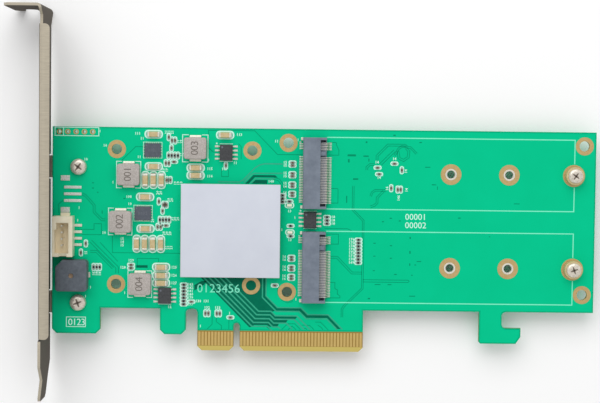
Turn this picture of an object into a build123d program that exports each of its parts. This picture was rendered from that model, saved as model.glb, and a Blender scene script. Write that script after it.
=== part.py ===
from build123d import *
import os

# A low-profile adapter card that carries two module boards, with a full-height slot bracket.
# Millimetres. The origin is the middle of the key notch at the edge connector's lower end,
# halfway through the board. +X runs away from the bracket, +Y to the card's upper edge, and
# +Z out of the component side.

os.makedirs("parts", exist_ok=True)

# Circuit board outline
board_thickness = 1.57
board_left = -57.15
board_end_margin = 6.75
board_upper_edge = 68.9
board_lower_edge = 12.95
foot_lower_edge = 4.95
foot_corner = 1.4
outer_foot_width = 14.95
inner_foot_width = 8.0
inner_foot_left = -23.75
slot_corner_radius = 1.2

# Edge connector
connector_left = -12.15
connector_right = 39.15
connector_corner = 1.35
key_notch_width = 1.9
key_notch_height = 8.75
bevel_height = 1.4
bevel_depth = 0.42
contact_pitch = 1.0
contact_width = 0.7
contact_upper_end = 5.9
contact_lower_end = 1.6
contact_first_step = 1.5
short_contact_count = 11
long_contact_count = 38
plating = 0.05

# Retention hook on the lower edge
hook_left = 75.15
hook_stem_width = 7.05
hook_reach = 12.95
hook_arm_top = 7.9
hook_lower_edge = 3.05
hook_corner_length = 1.5
hook_corner_height = 2.2
hook_heel = 0.5
hook_gap_radius = 1.1

# Holes for the heatsink's screws
heatsink_hole_radius = 1.6
chip_heatsink_left = -37.4
chip_heatsink_spacing_x = 41.75
chip_heatsink_lower = 20.4
chip_heatsink_spacing_y = 41.7
module_heatsink_margin = 3.6
module_heatsink_spacing_x = 91.45
module_heatsink_lower = 18.5
module_heatsink_spacing_y = 46.1

# Module bays
bay_spacing = 29.0
lower_bay_y = 26.42
module_datum = 23.75
module_lengths = (42.0, 60.0, 80.0)
insert_radius = 1.8
insert_bore_radius = 1.25
insert_proud = 0.1
seat_clearance = 0.02
sleeve_side_count = 8
standoff_side_count = 12
standoff_radius = 2.75
standoff_height = 2.6
module_screw_head_radius = 2.2
module_screw_head_height = 1.0
module_screw_radius = 1.2
module_screw_length = 3.2
module_screw_recess = 0.85

# Module sockets
socket_rear = 20.0
socket_front = 27.2
socket_cover_front = 25.3
socket_end_length = 1.7
socket_height = 4.2
socket_standing = 0.1
socket_slot_floor = 2.2
socket_slot_height = 1.3
socket_slot_back = 22.2
socket_end_wall = 0.75
socket_key_width = 1.2
socket_pocket_front = 26.9
socket_pocket_width = 0.85
socket_pocket_depth = 1.6
socket_chamfer = 0.35
socket_contact_pitch = 0.5
socket_contact_width = 0.22
socket_contact_thickness = 0.2
socket_front_tail = 1.0
socket_rear_tail = 0.7
socket_rear_tail_height = 0.3
socket_contact_back = 22.7
socket_before_key_count = 29
socket_key_count = 4
socket_front_count = 38
socket_tab_length = 0.7
socket_tab_width = 0.9
socket_tab_height = 1.1

# Slot bracket, one folded sheet
sheet = 0.86
bend_radius = 0.5
bracket_face = -58.2
bracket_far_edge = -2.42
bracket_width = 18.42
bracket_top = 105.4
bracket_height = 120.02
ear_depth = 11.43
ear_overhang = 3.17
ear_near_edge = 13.0
ear_neck_upper = 1.4
ear_neck_lower = 3.2
ear_shoulder_height = 3.8
ear_shoulder_start = 5.5
ear_notch_width = 4.42
ear_notch_depth = 6.35
ear_notch_centre = 6.2
ear_corner = 1.5
tongue_width = 10.19
tongue_length = 6.7
tongue_shoulder = 4.4
tongue_lean = 0.75
tongue_corner = 1.0
flange_reach = 3.3
flange_lower_margin = 19.52
flange_upper_margin = 6.1
flange_corner = 1.5
flange_root = 2.6
flange_relief = 0.6
tab_width = 6.8
tab_relief = 0.4
tab_root = 1.6
tab_reach = 12.6
tab_corner = 1.2
bracket_screw_x = -49.1
lower_bracket_screw_y = 14.55
bracket_screw_spacing = 41.95
board_screw_hole_radius = 1.6
tapped_hole_radius = 1.5
bracket_screw_radius = 1.45
bracket_screw_length = 3.0
bracket_screw_head_radius = 2.5
bracket_screw_head_height = 1.9
recess_length = 2.9
recess_width = 0.7
recess_depth = 0.8

# Row of bare holes along the upper edge
row_hole_count = 5
row_hole_pitch = 2.55
row_hole_left = -55.05
row_hole_y = 67.3
row_hole_radius = 0.5
row_hole_side_count = 6

# Switch chip and its pad
chip_centre_x = -2.1
chip_centre_y = 37.4
chip_size = 25.0
chip_height = 2.3
chip_lid_size = 19.0
chip_base_height = 1.1
chip_corner = 0.8
pad_length = 30.5
pad_width = 28.7
pad_thickness = 1.0

# Power parts
inductor_places = ((-33.65, 54.35), (-36.05, 39.8), (-13.2, 62.6), (-29.95, 20.6))
inductor_length = 6.9
inductor_width = 6.6
inductor_height = 3.0
inductor_corner = 0.5
inductor_terminal_width = 3.5
inductor_terminal_reach = 0.75
inductor_terminal_height = 1.3
inductor_terminal_sheet = 0.35
regulator_places = ((-26.35, 61.9), (-29.2, 42.4))
regulator_length = 5.0
regulator_width = 4.2
regulator_height = 0.9

# Eight-lead chips
small_chip_places = ((-3.7, 61.4), (-22.3, 17.0))
bay_chip_x = 22.35
small_chip_length = 3.9
small_chip_width = 4.9
small_chip_height = 1.5
small_chip_standing = 0.15
small_chip_lead_pitch = 1.27
small_chip_lead_span = 6.4
small_chip_lead_width = 0.42
small_chip_lead_thickness = 0.2
small_chip_lead_rise = 0.75
small_chip_lead_knee = 0.55
small_chip_lead_count = 4

# Chip capacitors and resistors
large_length = 3.6
large_width = 1.6
large_height = 1.4
large_end = 0.5
upright_bank_pitch = 2.48
upper_bank_left = -28.55
upper_bank_y = 52.7
upper_bank_count = 3
lower_bank_left = -31.1
lower_bank_y = 32.95
lower_bank_count = 4
flat_large_places = (
    (-26.1, 66.8),
    (-26.0, 56.85),
    (-28.6, 47.45),
    (-28.4, 37.65),
    (-13.1, 56.6),
    (-13.1, 54.25),
    (-4.1, 66.8),
    (-23.5, 25.8),
    (-23.5, 23.25),
    (-23.5, 20.85),
)
small_length = 1.1
small_width = 0.6
small_height = 0.5
small_step = 0.95
column_step = 1.02
pair_x = 16.75
pair_gap = 0.9
pair_places_y = (58.1, 54.8, 51.65, 48.8, 28.95, 25.85, 23.05)
flat_small_places = (
    (-32.8, 25.4),
    (-32.8, 26.4),
    (-14.05, 15.15),
    (-1.95, 10.4),
    (11.7, 20.45),
    (43.0, 57.3),
    (43.5, 55.3),
    (48.2, 58.6),
    (-19.75, 58.4),
    (-22.1, 38.7),
)
upright_small_places = (
    (-21.45, 65.95),
    (-20.45, 64.95),
    (-19.5, 64.95),
    (-20.6, 62.6),
    (-22.3, 57.95),
    (-21.35, 57.95),
    (-21.95, 52.75),
    (-20.85, 52.75),
    (-24.35, 46.1),
    (-22.95, 45.1),
    (-22.0, 45.1),
    (-23.2, 43.2),
    (-24.7, 38.25),
    (-23.75, 38.25),
    (-46.8, 32.85),
    (-48.3, 30.05),
    (-3.8, 57.4),
    (-9.7, 11.6),
    (-8.75, 11.6),
    (-6.2, 11.6),
    (-5.25, 11.6),
    (50.5, 56.6),
    (47.3, 51.0),
    (49.3, 50.6),
    (50.25, 50.6),
)
upright_row_starts = ((-21.45, 60.3, 4), (-24.0, 40.45, 4), (-44.35, 25.6, 3))
flat_column_starts = ((-16.45, 14.3, 7), (37.4, 27.8, 8), (27.6, 39.8, 3), (13.75, 46.4, 3))
lamp_places = ((15.95, 45.35), (16.2, 37.0))
lamp_length = 1.6
lamp_width = 0.8
lamp_height = 0.6
resistor_places = ((15.95, 46.55), (16.35, 39.0), (16.4, 35.85))

# Sounder
sounder_x = -50.7
sounder_y = 23.2
sounder_size = 9.6
sounder_height = 5.0
sounder_standing = 0.2
sounder_corner = 2.1
sounder_rounding = 0.6
sounder_bore_radius = 0.75
sounder_bore_depth = 1.2
sounder_terminal_width = 1.6
sounder_terminal_reach = 0.5
sounder_terminal_height = 0.6

# Fan header
header_left = -56.5
header_right = -50.3
header_lower = 29.0
header_upper = 41.4
header_height = 5.0
header_floor = 1.4
header_left_wall = 0.6
header_right_wall = 1.2
header_lower_wall = 1.0
header_upper_wall = 2.0
header_corner_step = 0.6
header_corner_step_y = 37.3
header_ear_left = -54.4
header_ear_width = 2.8
header_ear_reach = 0.95
header_ear_height = 1.6
header_slot_left = -54.5
header_slot_width = 2.4
header_slot_depth = 2.4
header_pin_count = 4
header_pin_pitch = 2.0
header_pin_first_y = 32.45
header_pin_side = 0.5
header_pin_x = -53.7
header_pin_height = 4.2
header_tail_end = -48.0
header_tail_width = 0.8
header_tail_thickness = 0.35

# Bare solder lands of a connector that isn't fitted
land_x = -50.9
land_length = 5.4
land_width = 0.85
land_height = 0.2
land_count = 3
land_pitch = 2.07
land_middle_y = 48.12
anchor_land_x = -53.2
anchor_land_length = 2.8
anchor_land_width = 1.6
anchor_land_spacing = 9.8

# Levels and places worked out from the sizes above
board_top = board_thickness / 2
board_bottom = -board_thickness / 2
board_right = module_datum + module_lengths[-1] + board_end_margin
board_middle_y = (board_upper_edge + board_lower_edge) / 2
bay_rows = (lower_bay_y, lower_bay_y + bay_spacing)
insert_xs = [module_datum + length for length in module_lengths[:-1]]
standoff_x = module_datum + module_lengths[-1]
bracket_screw_ys = (lower_bracket_screw_y, lower_bracket_screw_y + bracket_screw_spacing)
bracket_screw_places = [(bracket_screw_x, y) for y in bracket_screw_ys]
insert_places = [(x, y) for y in bay_rows for x in insert_xs]
standoff_places = [(standoff_x, y) for y in bay_rows]
row_hole_places = [(row_hole_left + row_hole_pitch * i, row_hole_y) for i in range(row_hole_count)]
heatsink_places = [
    (left + spacing_x * i, lower + spacing_y * j)
    for left, spacing_x, lower, spacing_y in (
        (
            chip_heatsink_left,
            chip_heatsink_spacing_x,
            chip_heatsink_lower,
            chip_heatsink_spacing_y,
        ),
        (
            board_right - module_heatsink_margin - module_heatsink_spacing_x,
            module_heatsink_spacing_x,
            module_heatsink_lower,
            module_heatsink_spacing_y,
        ),
    )
    for i in (0, 1)
    for j in (0, 1)
]


def box_between(x_low, x_high, y_low, y_high, mode=Mode.ADD):
    """Draw a rectangle between two corners in the sketch that is open."""
    with Locations(((x_low + x_high) / 2, (y_low + y_high) / 2)):
        Rectangle(x_high - x_low, y_high - y_low, mode=mode)


def facets(places, radius, sides, mode=Mode.ADD):
    """Draw a plain polygon at each place, for a small or covered hole, sleeve or shank."""
    with Locations(*places):
        RegularPolygon(radius, sides, mode=mode)


def circles(places, radius, mode=Mode.ADD):
    """Draw a circle at each place in the sketch that is open."""
    with Locations(*places):
        Circle(radius, mode=mode)


def standing_blocks(places, length, width, height, base=None):
    """Stand a block on the board, or on another level, at each place."""
    level = board_top if base is None else base
    with Locations(*[(x, y, level) for x, y in places]):
        Box(length, width, height, align=(Align.CENTER, Align.CENTER, Align.MIN))


def keep(piece, name):
    """Label a finished piece and write its file."""
    piece.part.label = name
    export_step(piece.part, "parts/" + name + ".step")


# Circuit board: panel, two feet, edge connector and retention hook in one outline
outer_foot_right = board_left + outer_foot_width
inner_foot_right = inner_foot_left + inner_foot_width
notch_centre_y = key_notch_height - key_notch_width / 2
hook_right = hook_left + hook_reach
hook_stem_right = hook_left + hook_stem_width
inner_corners = (
    ((inner_foot_right, board_lower_edge), slot_corner_radius),
    ((connector_left, board_lower_edge), slot_corner_radius),
    ((hook_stem_right, board_lower_edge), hook_gap_radius),
    ((hook_stem_right, hook_arm_top), hook_gap_radius),
)
with BuildPart() as circuit_board:
    with BuildSketch(Plane.XY.offset(board_bottom)) as outline:
        box_between(board_left, outer_foot_right, foot_lower_edge, board_middle_y)
        box_between(inner_foot_left, inner_foot_right, foot_lower_edge, board_middle_y)
        chamfer(outline.vertices().group_by(Axis.Y)[0], foot_corner)
        box_between(connector_left, -key_notch_width / 2, 0, board_middle_y)
        box_between(key_notch_width / 2, connector_right, 0, board_middle_y)
        chamfer(outline.vertices().group_by(Axis.Y)[0], connector_corner)
        box_between(-key_notch_width / 2, key_notch_width / 2, notch_centre_y, board_middle_y)
        circles([(0, notch_centre_y)], key_notch_width / 2, Mode.SUBTRACT)
        with BuildLine():
            Polyline(
                (hook_left, board_middle_y),
                (hook_left, hook_lower_edge + hook_heel),
                (hook_left + hook_heel, hook_lower_edge),
                (hook_right - hook_corner_length, hook_lower_edge),
                (hook_right, hook_lower_edge + hook_corner_height),
                (hook_right, hook_arm_top),
                (hook_stem_right, hook_arm_top),
                (hook_stem_right, board_middle_y),
                close=True,
            )
        make_face()
        box_between(board_left, board_right, board_lower_edge, board_upper_edge)
        for corner, radius in inner_corners:
            fillet(outline.vertices().sort_by_distance(corner)[0], radius)
        circles(heatsink_places, heatsink_hole_radius, Mode.SUBTRACT)
        facets(insert_places + standoff_places, insert_radius, sleeve_side_count, Mode.SUBTRACT)
        facets(bracket_screw_places, board_screw_hole_radius, sleeve_side_count, Mode.SUBTRACT)
        facets(row_hole_places, row_hole_radius, row_hole_side_count, Mode.SUBTRACT)
    extrude(amount=board_thickness)
    with BuildSketch(Plane.YZ.offset(connector_left)):
        for side in (-1, 1):
            with BuildLine():
                Polyline(
                    (0, side * board_top),
                    (bevel_height, side * board_top),
                    (0, side * (board_top - bevel_depth)),
                    close=True,
                )
            make_face()
    extrude(amount=connector_right - connector_left, mode=Mode.SUBTRACT)
keep(circuit_board, "circuit_board")

# Edge contacts on both faces, with the key notch between the two groups
contact_length = contact_upper_end - contact_lower_end
contact_y = (contact_upper_end + contact_lower_end) / 2
contact_xs = [-contact_first_step - contact_pitch * i for i in range(short_contact_count)]
contact_xs += [contact_first_step + contact_pitch * i for i in range(long_contact_count)]
contact_places = [(x, contact_y) for x in contact_xs]
with BuildPart() as front_edge_contacts:
    standing_blocks(contact_places, contact_width, contact_length, plating)
keep(front_edge_contacts, "front_edge_contacts")
with BuildPart() as rear_edge_contacts:
    standing_blocks(contact_places, contact_width, contact_length, plating, board_bottom - plating)
keep(rear_edge_contacts, "rear_edge_contacts")

# Threaded inserts for the shorter modules
insert_height = board_thickness + plating + insert_proud
with BuildPart() as threaded_inserts:
    with BuildSketch(Plane.XY.offset(board_bottom)):
        facets(insert_places, insert_radius - seat_clearance, sleeve_side_count)
        circles(insert_places, insert_bore_radius, Mode.SUBTRACT)
    extrude(amount=insert_height)
keep(threaded_inserts, "threaded_inserts")

# Standoffs at the far end of each bay: a stem in the board and a body on its pad
standoff_base = board_top + plating
module_screw_seat = standoff_base + standoff_height
with BuildPart() as module_standoffs:
    with BuildSketch(Plane.XY.offset(board_bottom)):
        facets(standoff_places, insert_radius - seat_clearance, sleeve_side_count)
        facets(standoff_places, insert_bore_radius, sleeve_side_count, Mode.SUBTRACT)
    extrude(amount=board_thickness + plating)
    with BuildSketch(Plane.XY.offset(standoff_base)):
        facets(standoff_places, standoff_radius, standoff_side_count)
        facets(standoff_places, insert_bore_radius, sleeve_side_count, Mode.SUBTRACT)
    extrude(amount=standoff_height)
keep(module_standoffs, "module_standoffs")


def cross_recess(places, level, size):
    """Cut a cross-shaped drive recess down from a level at each place."""
    with BuildSketch(Plane.XY.offset(level)) as cross:
        with Locations(*places):
            Rectangle(recess_length * size, recess_width * size)
            Rectangle(recess_width * size, recess_length * size)
    extrude(cross.sketch, amount=-recess_depth * size, mode=Mode.SUBTRACT)


# Screws in the standoffs, with flat heads
with BuildPart() as module_screws:
    with BuildSketch(Plane.XY.offset(module_screw_seat)):
        circles(standoff_places, module_screw_head_radius)
    extrude(amount=module_screw_head_height)
    with BuildSketch(Plane.XY.offset(module_screw_seat)):
        facets(standoff_places, module_screw_radius, sleeve_side_count)
    extrude(amount=-module_screw_length)
    cross_recess(
        standoff_places,
        module_screw_seat + module_screw_head_height,
        module_screw_recess,
    )
keep(module_screws, "module_screws")

# Slot bracket: the side profile of the folded sheet, trimmed to its outline, then its
# stiffening flange and the two tabs that lie under the board
bracket_outer = bracket_face - sheet
bracket_near_edge = bracket_far_edge + bracket_width
bracket_bottom = bracket_top - bracket_height
flange_lower_end = bracket_bottom + flange_lower_margin
flange_upper_end = bracket_top - flange_upper_margin
ear_end = bracket_face - ear_depth
ear_far_edge = bracket_far_edge - ear_overhang
tongue_far = bracket_far_edge + (bracket_width - tongue_width) / 2
tongue_near = tongue_far + tongue_width
tongue_start = bracket_bottom + tongue_length
shoulder_start = tongue_start + tongue_shoulder
tab_lower_face = board_bottom - sheet
tab_notch = tab_width / 2 + tab_relief
with BuildPart() as slot_bracket:
    with BuildSketch(Plane.XY.offset(ear_far_edge)) as side:
        with BuildLine():
            Polyline(
                (bracket_face, bracket_top),
                (ear_end, bracket_top),
                (ear_end, bracket_top - sheet),
                (bracket_outer, bracket_top - sheet),
                (bracket_outer, tongue_start),
                (bracket_outer - tongue_lean, bracket_bottom),
                (bracket_face - tongue_lean, bracket_bottom),
                (bracket_face, tongue_start),
                close=True,
            )
        make_face()
        fillet(side.vertices().sort_by_distance((bracket_face, bracket_top))[0], bend_radius + sheet)
        fillet(
            side.vertices().sort_by_distance((bracket_outer, bracket_top - sheet))[0],
            bend_radius,
        )
    extrude(amount=bracket_near_edge - ear_far_edge)
    with BuildSketch(Plane.YZ.offset(ear_end - sheet)) as front:
        with BuildLine():
            Polyline(
                (bracket_top + sheet, ear_far_edge),
                (bracket_top + sheet, bracket_near_edge),
                (bracket_top - ear_neck_upper, bracket_near_edge),
                (bracket_top - ear_neck_lower, ear_near_edge),
                (flange_upper_end + flange_relief, ear_near_edge),
                (flange_upper_end, bracket_near_edge - flange_root),
                (flange_lower_end, bracket_near_edge - flange_root),
                (flange_lower_end - flange_relief, bracket_near_edge),
                (shoulder_start, bracket_near_edge),
                (tongue_start, tongue_near),
                (bracket_bottom, tongue_near),
                (bracket_bottom, tongue_far),
                (tongue_start, tongue_far),
                (shoulder_start, bracket_far_edge),
                (bracket_top - ear_shoulder_start, bracket_far_edge),
                (bracket_top - ear_shoulder_start + ear_shoulder_height, ear_far_edge),
                close=True,
            )
        make_face()
        chamfer(front.vertices().group_by(Axis.X)[0], tongue_corner)
        for screw_y in bracket_screw_ys:
            box_between(
                screw_y - tab_notch,
                screw_y + tab_notch,
                bracket_far_edge - sheet,
                board_bottom + tab_root,
                Mode.SUBTRACT,
            )
    extrude(amount=ear_depth + 2 * sheet, mode=Mode.INTERSECT)
    with BuildSketch(Plane.XZ.offset(-bracket_top - sheet)):
        with Locations((bracket_face - ear_notch_centre, ear_far_edge)):
            Rectangle(
                ear_notch_width,
                ear_notch_depth - ear_notch_width / 2,
                align=(Align.CENTER, Align.MIN),
            )
        with Locations(
            (bracket_face - ear_notch_centre, ear_far_edge + ear_notch_depth - ear_notch_width / 2)
        ):
            Circle(ear_notch_width / 2)
    extrude(amount=3 * sheet, mode=Mode.SUBTRACT)
    chamfer(slot_bracket.edges().filter_by(Axis.Y).group_by(Axis.X)[0], ear_corner)
    with BuildSketch(Plane.XZ.offset(-flange_lower_end)) as fold:
        with BuildLine():
            Polyline(
                (bracket_outer, bracket_near_edge - flange_root),
                (bracket_outer, bracket_near_edge),
                (bracket_outer + flange_reach, bracket_near_edge),
                (bracket_outer + flange_reach, bracket_near_edge - sheet),
                (bracket_face, bracket_near_edge - sheet),
                (bracket_face, bracket_near_edge - flange_root),
                close=True,
            )
        make_face()
        fillet(
            fold.vertices().sort_by_distance((bracket_outer, bracket_near_edge))[0],
            bend_radius + sheet,
        )
        fillet(
            fold.vertices().sort_by_distance((bracket_face, bracket_near_edge - sheet))[0],
            bend_radius,
        )
    extrude(amount=-(flange_upper_end - flange_lower_end))
    flange_edges = slot_bracket.edges().filter_by(Axis.Z).group_by(Axis.X)[-1]
    fillet(flange_edges, flange_corner)
    for screw_y in bracket_screw_ys:
        with BuildSketch(Plane.XZ.offset(-screw_y + tab_width / 2)) as tab_fold:
            with BuildLine():
                Polyline(
                    (bracket_outer, board_bottom + tab_root),
                    (bracket_outer, tab_lower_face),
                    (bracket_face + tab_reach, tab_lower_face),
                    (bracket_face + tab_reach, board_bottom),
                    (bracket_face, board_bottom),
                    (bracket_face, board_bottom + tab_root),
                    close=True,
                )
            make_face()
            fillet(
                tab_fold.vertices().sort_by_distance((bracket_outer, tab_lower_face))[0],
                bend_radius + sheet,
            )
            fillet(tab_fold.vertices().sort_by_distance((bracket_face, board_bottom))[0], bend_radius)
        extrude(amount=-tab_width)
    tab_edges = slot_bracket.edges().filter_by(Axis.Z).group_by(Axis.X)[-1]
    chamfer(tab_edges, tab_corner)
    with BuildSketch(Plane.XY.offset(tab_lower_face)):
        facets(bracket_screw_places, tapped_hole_radius, sleeve_side_count)
    extrude(amount=sheet, mode=Mode.SUBTRACT)
keep(slot_bracket, "slot_bracket")

# Screws through the board into the tabs, with round heads
with BuildPart() as bracket_screws:
    with BuildSketch(Plane.XY.offset(board_top)):
        circles(bracket_screw_places, bracket_screw_head_radius)
    extrude(amount=bracket_screw_head_height)
    with BuildSketch(Plane.XY.offset(board_top)):
        facets(bracket_screw_places, bracket_screw_radius, sleeve_side_count)
    extrude(amount=-bracket_screw_length)
    cross_recess(bracket_screw_places, board_top + bracket_screw_head_height, 1)
keep(bracket_screws, "bracket_screws")

# Switch chip: a base and a smaller moulded cap in one package, with a soft pad on it
chip_place = [(chip_centre_x, chip_centre_y)]
with BuildPart() as switch_chip:
    standing_blocks(chip_place, chip_size, chip_size, chip_base_height)
    chamfer(switch_chip.edges().filter_by(Axis.Z), chip_corner)
    standing_blocks(
        chip_place,
        chip_lid_size,
        chip_lid_size,
        chip_height - chip_base_height,
        board_top + chip_base_height,
    )
keep(switch_chip, "switch_chip")
with BuildPart() as thermal_pad:
    standing_blocks(chip_place, pad_length, pad_width, pad_thickness, board_top + chip_height)
keep(thermal_pad, "thermal_pad")

# Power inductors: a pressed body between two folded terminals
for number, place in enumerate(inductor_places, start=1):
    name = "power_inductor_" + str(number)
    terminal_ends = [
        (place[0], place[1] + side * (inductor_width / 2 + inductor_terminal_reach / 2))
        for side in (-1, 1)
    ]
    with BuildPart() as inductor_body:
        standing_blocks([place], inductor_length, inductor_width, inductor_height)
        chamfer(inductor_body.edges().filter_by(Axis.Z), inductor_corner)
    keep(inductor_body, name + "_body")
    with BuildPart() as inductor_terminals:
        standing_blocks(
            terminal_ends,
            inductor_terminal_width,
            inductor_terminal_reach,
            inductor_terminal_sheet,
        )
        terminal_walls = [
            (place[0], place[1] + side * (inductor_width / 2 + inductor_terminal_sheet / 2))
            for side in (-1, 1)
        ]
        standing_blocks(
            terminal_walls,
            inductor_terminal_width,
            inductor_terminal_sheet,
            inductor_terminal_height,
        )
    keep(inductor_terminals, name + "_terminals")

# Regulator chips, which sit flat on the board
for number, place in enumerate(regulator_places, start=1):
    with BuildPart() as regulator_chip:
        standing_blocks([place], regulator_length, regulator_width, regulator_height)
    keep(regulator_chip, "regulator_chip_" + str(number))

# Eight-lead chips: a body that stands on bent leads
lead_half_row = small_chip_lead_pitch * (small_chip_lead_count - 1) / 2
bay_chip_place = (bay_chip_x, lower_bay_y + bay_spacing / 2)
for number, place in enumerate((*small_chip_places, bay_chip_place), start=1):
    name = "eight_lead_chip_" + str(number)
    with BuildPart() as chip_body:
        standing_blocks(
            [place],
            small_chip_length,
            small_chip_width,
            small_chip_height,
            board_top + small_chip_standing,
        )
    keep(chip_body, name + "_body")
    with BuildPart() as chip_leads:
        for side in (-1, 1):
            wall_x = place[0] + side * small_chip_length / 2
            tip_x = place[0] + side * small_chip_lead_span / 2
            knee_x = wall_x + side * small_chip_lead_knee
            for step in range(small_chip_lead_count):
                lead_y = place[1] - lead_half_row + small_chip_lead_pitch * step
                with BuildSketch(Plane.XZ.offset(-lead_y - small_chip_lead_width / 2)):
                    with BuildLine():
                        Polyline(
                            (wall_x, board_top + small_chip_lead_rise),
                            (knee_x, board_top + small_chip_lead_thickness),
                            (tip_x, board_top + small_chip_lead_thickness),
                            (tip_x, board_top),
                            (wall_x, board_top),
                            close=True,
                        )
                    make_face()
                extrude(amount=small_chip_lead_width)
    keep(chip_leads, name + "_leads")

# Large chip capacitors: ceramic bodies with a metal end on each side
bank_places = [
    (upper_bank_left + upright_bank_pitch * i, upper_bank_y) for i in range(upper_bank_count)
]
bank_places += [
    (lower_bank_left + upright_bank_pitch * i, lower_bank_y) for i in range(lower_bank_count)
]
large_body_length = large_length - 2 * large_end
end_offset = (large_length - large_end) / 2
with BuildPart() as large_capacitor_bodies:
    standing_blocks(flat_large_places, large_body_length, large_width, large_height)
    standing_blocks(bank_places, large_width, large_body_length, large_height)
keep(large_capacitor_bodies, "large_capacitor_bodies")
with BuildPart() as large_capacitor_ends:
    for side in (-1, 1):
        flat_ends = [(x + side * end_offset, y) for x, y in flat_large_places]
        bank_ends = [(x, y + side * end_offset) for x, y in bank_places]
        standing_blocks(flat_ends, large_end, large_width, large_height)
        standing_blocks(bank_ends, large_width, large_end, large_height)
keep(large_capacitor_ends, "large_capacitor_ends")

# Small chip parts lying along X and along Y
pair_places = [
    (pair_x, y + side * pair_gap / 2) for y in pair_places_y for side in (-1, 1)
]
column_places = [
    (x, y + column_step * i) for x, y, count in flat_column_starts for i in range(count)
]
row_places = [
    (x + small_step * i, y) for x, y, count in upright_row_starts for i in range(count)
]
with BuildPart() as small_capacitors:
    standing_blocks(pair_places, small_length, small_width, small_height)
    standing_blocks(flat_small_places, small_length, small_width, small_height)
    standing_blocks(upright_small_places, small_width, small_length, small_height)
keep(small_capacitors, "small_capacitors")
with BuildPart() as small_resistors:
    standing_blocks(column_places, small_length, small_width, small_height)
    standing_blocks(resistor_places, small_length, small_width, small_height)
    standing_blocks(row_places, small_width, small_length, small_height)
keep(small_resistors, "small_resistors")
with BuildPart() as indicator_lamps:
    standing_blocks(lamp_places, lamp_length, lamp_width, lamp_height)
keep(indicator_lamps, "indicator_lamps")

# Sounder: a square case with one cut corner and a sound hole, on two side terminals
sounder_base = board_top + sounder_standing
sounder_place = [(sounder_x, sounder_y)]
with BuildPart() as sounder_case:
    standing_blocks(
        sounder_place,
        sounder_size,
        sounder_size,
        sounder_height - sounder_standing,
        sounder_base,
    )
    upright_edges = sounder_case.edges().filter_by(Axis.Z)
    cut_corner = upright_edges.sort_by_distance((sounder_x - sounder_size, sounder_y + sounder_size))[0]
    chamfer(cut_corner, sounder_corner)
    other_edges = sounder_case.edges().filter_by(Axis.Z).sort_by_distance(
        (sounder_x + sounder_size, sounder_y - sounder_size)
    )[:3]
    chamfer(other_edges, sounder_rounding)
    with BuildSketch(Plane.XY.offset(board_top + sounder_height)):
        facets(sounder_place, sounder_bore_radius, sleeve_side_count)
    extrude(amount=-sounder_bore_depth, mode=Mode.SUBTRACT)
keep(sounder_case, "sounder_case")
with BuildPart() as sounder_terminals:
    for side in (-1, 1):
        under = (
            sounder_x + side * (sounder_size / 2 - sounder_terminal_width / 2),
            sounder_y,
        )
        outside = (
            sounder_x + side * (sounder_size / 2 + sounder_terminal_reach / 2),
            sounder_y,
        )
        standing_blocks([under], sounder_terminal_width, sounder_terminal_width, sounder_standing)
        standing_blocks(
            [outside],
            sounder_terminal_reach,
            sounder_terminal_width,
            sounder_terminal_height,
        )
keep(sounder_terminals, "sounder_terminals")

# Fan header: an open box with a notched end wall, a low ear at the other end and four bent pins
cavity_left = header_left + header_left_wall
cavity_right = header_right - header_right_wall
cavity_lower = header_lower + header_lower_wall
cavity_upper = header_upper - header_upper_wall
header_top = board_top + header_height
header_pin_ys = [header_pin_first_y + header_pin_pitch * i for i in range(header_pin_count)]
header_tail_start = header_pin_x - header_pin_side / 2
header_tail_middle = (header_tail_end + header_tail_start) / 2
header_tail_length = header_tail_end - header_tail_start
header_post_places = [(header_pin_x, y) for y in header_pin_ys]
header_tail_places = [(header_tail_middle, y) for y in header_pin_ys]
with BuildPart() as fan_header_housing:
    with BuildSketch(Plane.XY.offset(board_top)):
        box_between(header_left, header_right, header_lower, header_upper)
    extrude(amount=header_height)
    with BuildSketch(Plane.XY.offset(board_top)):
        box_between(
            header_ear_left,
            header_ear_left + header_ear_width,
            header_upper,
            header_upper + header_ear_reach,
        )
    extrude(amount=header_ear_height)
    with BuildSketch(Plane.XY.offset(board_top + header_floor)):
        box_between(cavity_left, cavity_right, cavity_lower, header_corner_step_y)
        box_between(cavity_left + header_corner_step, cavity_right, cavity_lower, cavity_upper)
    extrude(amount=header_height, mode=Mode.SUBTRACT)
    with BuildSketch(Plane.XY.offset(header_top)):
        box_between(
            header_slot_left,
            header_slot_left + header_slot_width,
            header_lower,
            cavity_lower,
        )
    extrude(amount=-header_slot_depth, mode=Mode.SUBTRACT)
    with BuildSketch(Plane.XY.offset(board_top)):
        with Locations(*header_post_places):
            Rectangle(header_pin_side, header_pin_side)
    extrude(amount=header_floor, mode=Mode.SUBTRACT)
    with BuildSketch(Plane.XY.offset(board_top)):
        with Locations(*header_tail_places):
            Rectangle(header_tail_length, header_tail_width)
    extrude(amount=header_tail_thickness, mode=Mode.SUBTRACT)
keep(fan_header_housing, "fan_header_housing")
with BuildPart() as fan_header_pins:
    standing_blocks(header_post_places, header_pin_side, header_pin_side, header_pin_height)
    standing_blocks(
        header_tail_places,
        header_tail_length,
        header_tail_width,
        header_tail_thickness,
    )
keep(fan_header_pins, "fan_header_pins")

# Solder lands of the connector that isn't fitted
with BuildPart() as bare_solder_lands:
    land_places = [
        (land_x, land_middle_y + land_pitch * (i - (land_count - 1) / 2)) for i in range(land_count)
    ]
    standing_blocks(land_places, land_length, land_width, land_height)
    anchor_places = [
        (anchor_land_x, land_middle_y + side * anchor_land_spacing / 2) for side in (-1, 1)
    ]
    standing_blocks(
        anchor_places,
        anchor_land_length,
        anchor_land_width,
        land_height,
    )
keep(bare_solder_lands, "bare_solder_lands")

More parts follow.
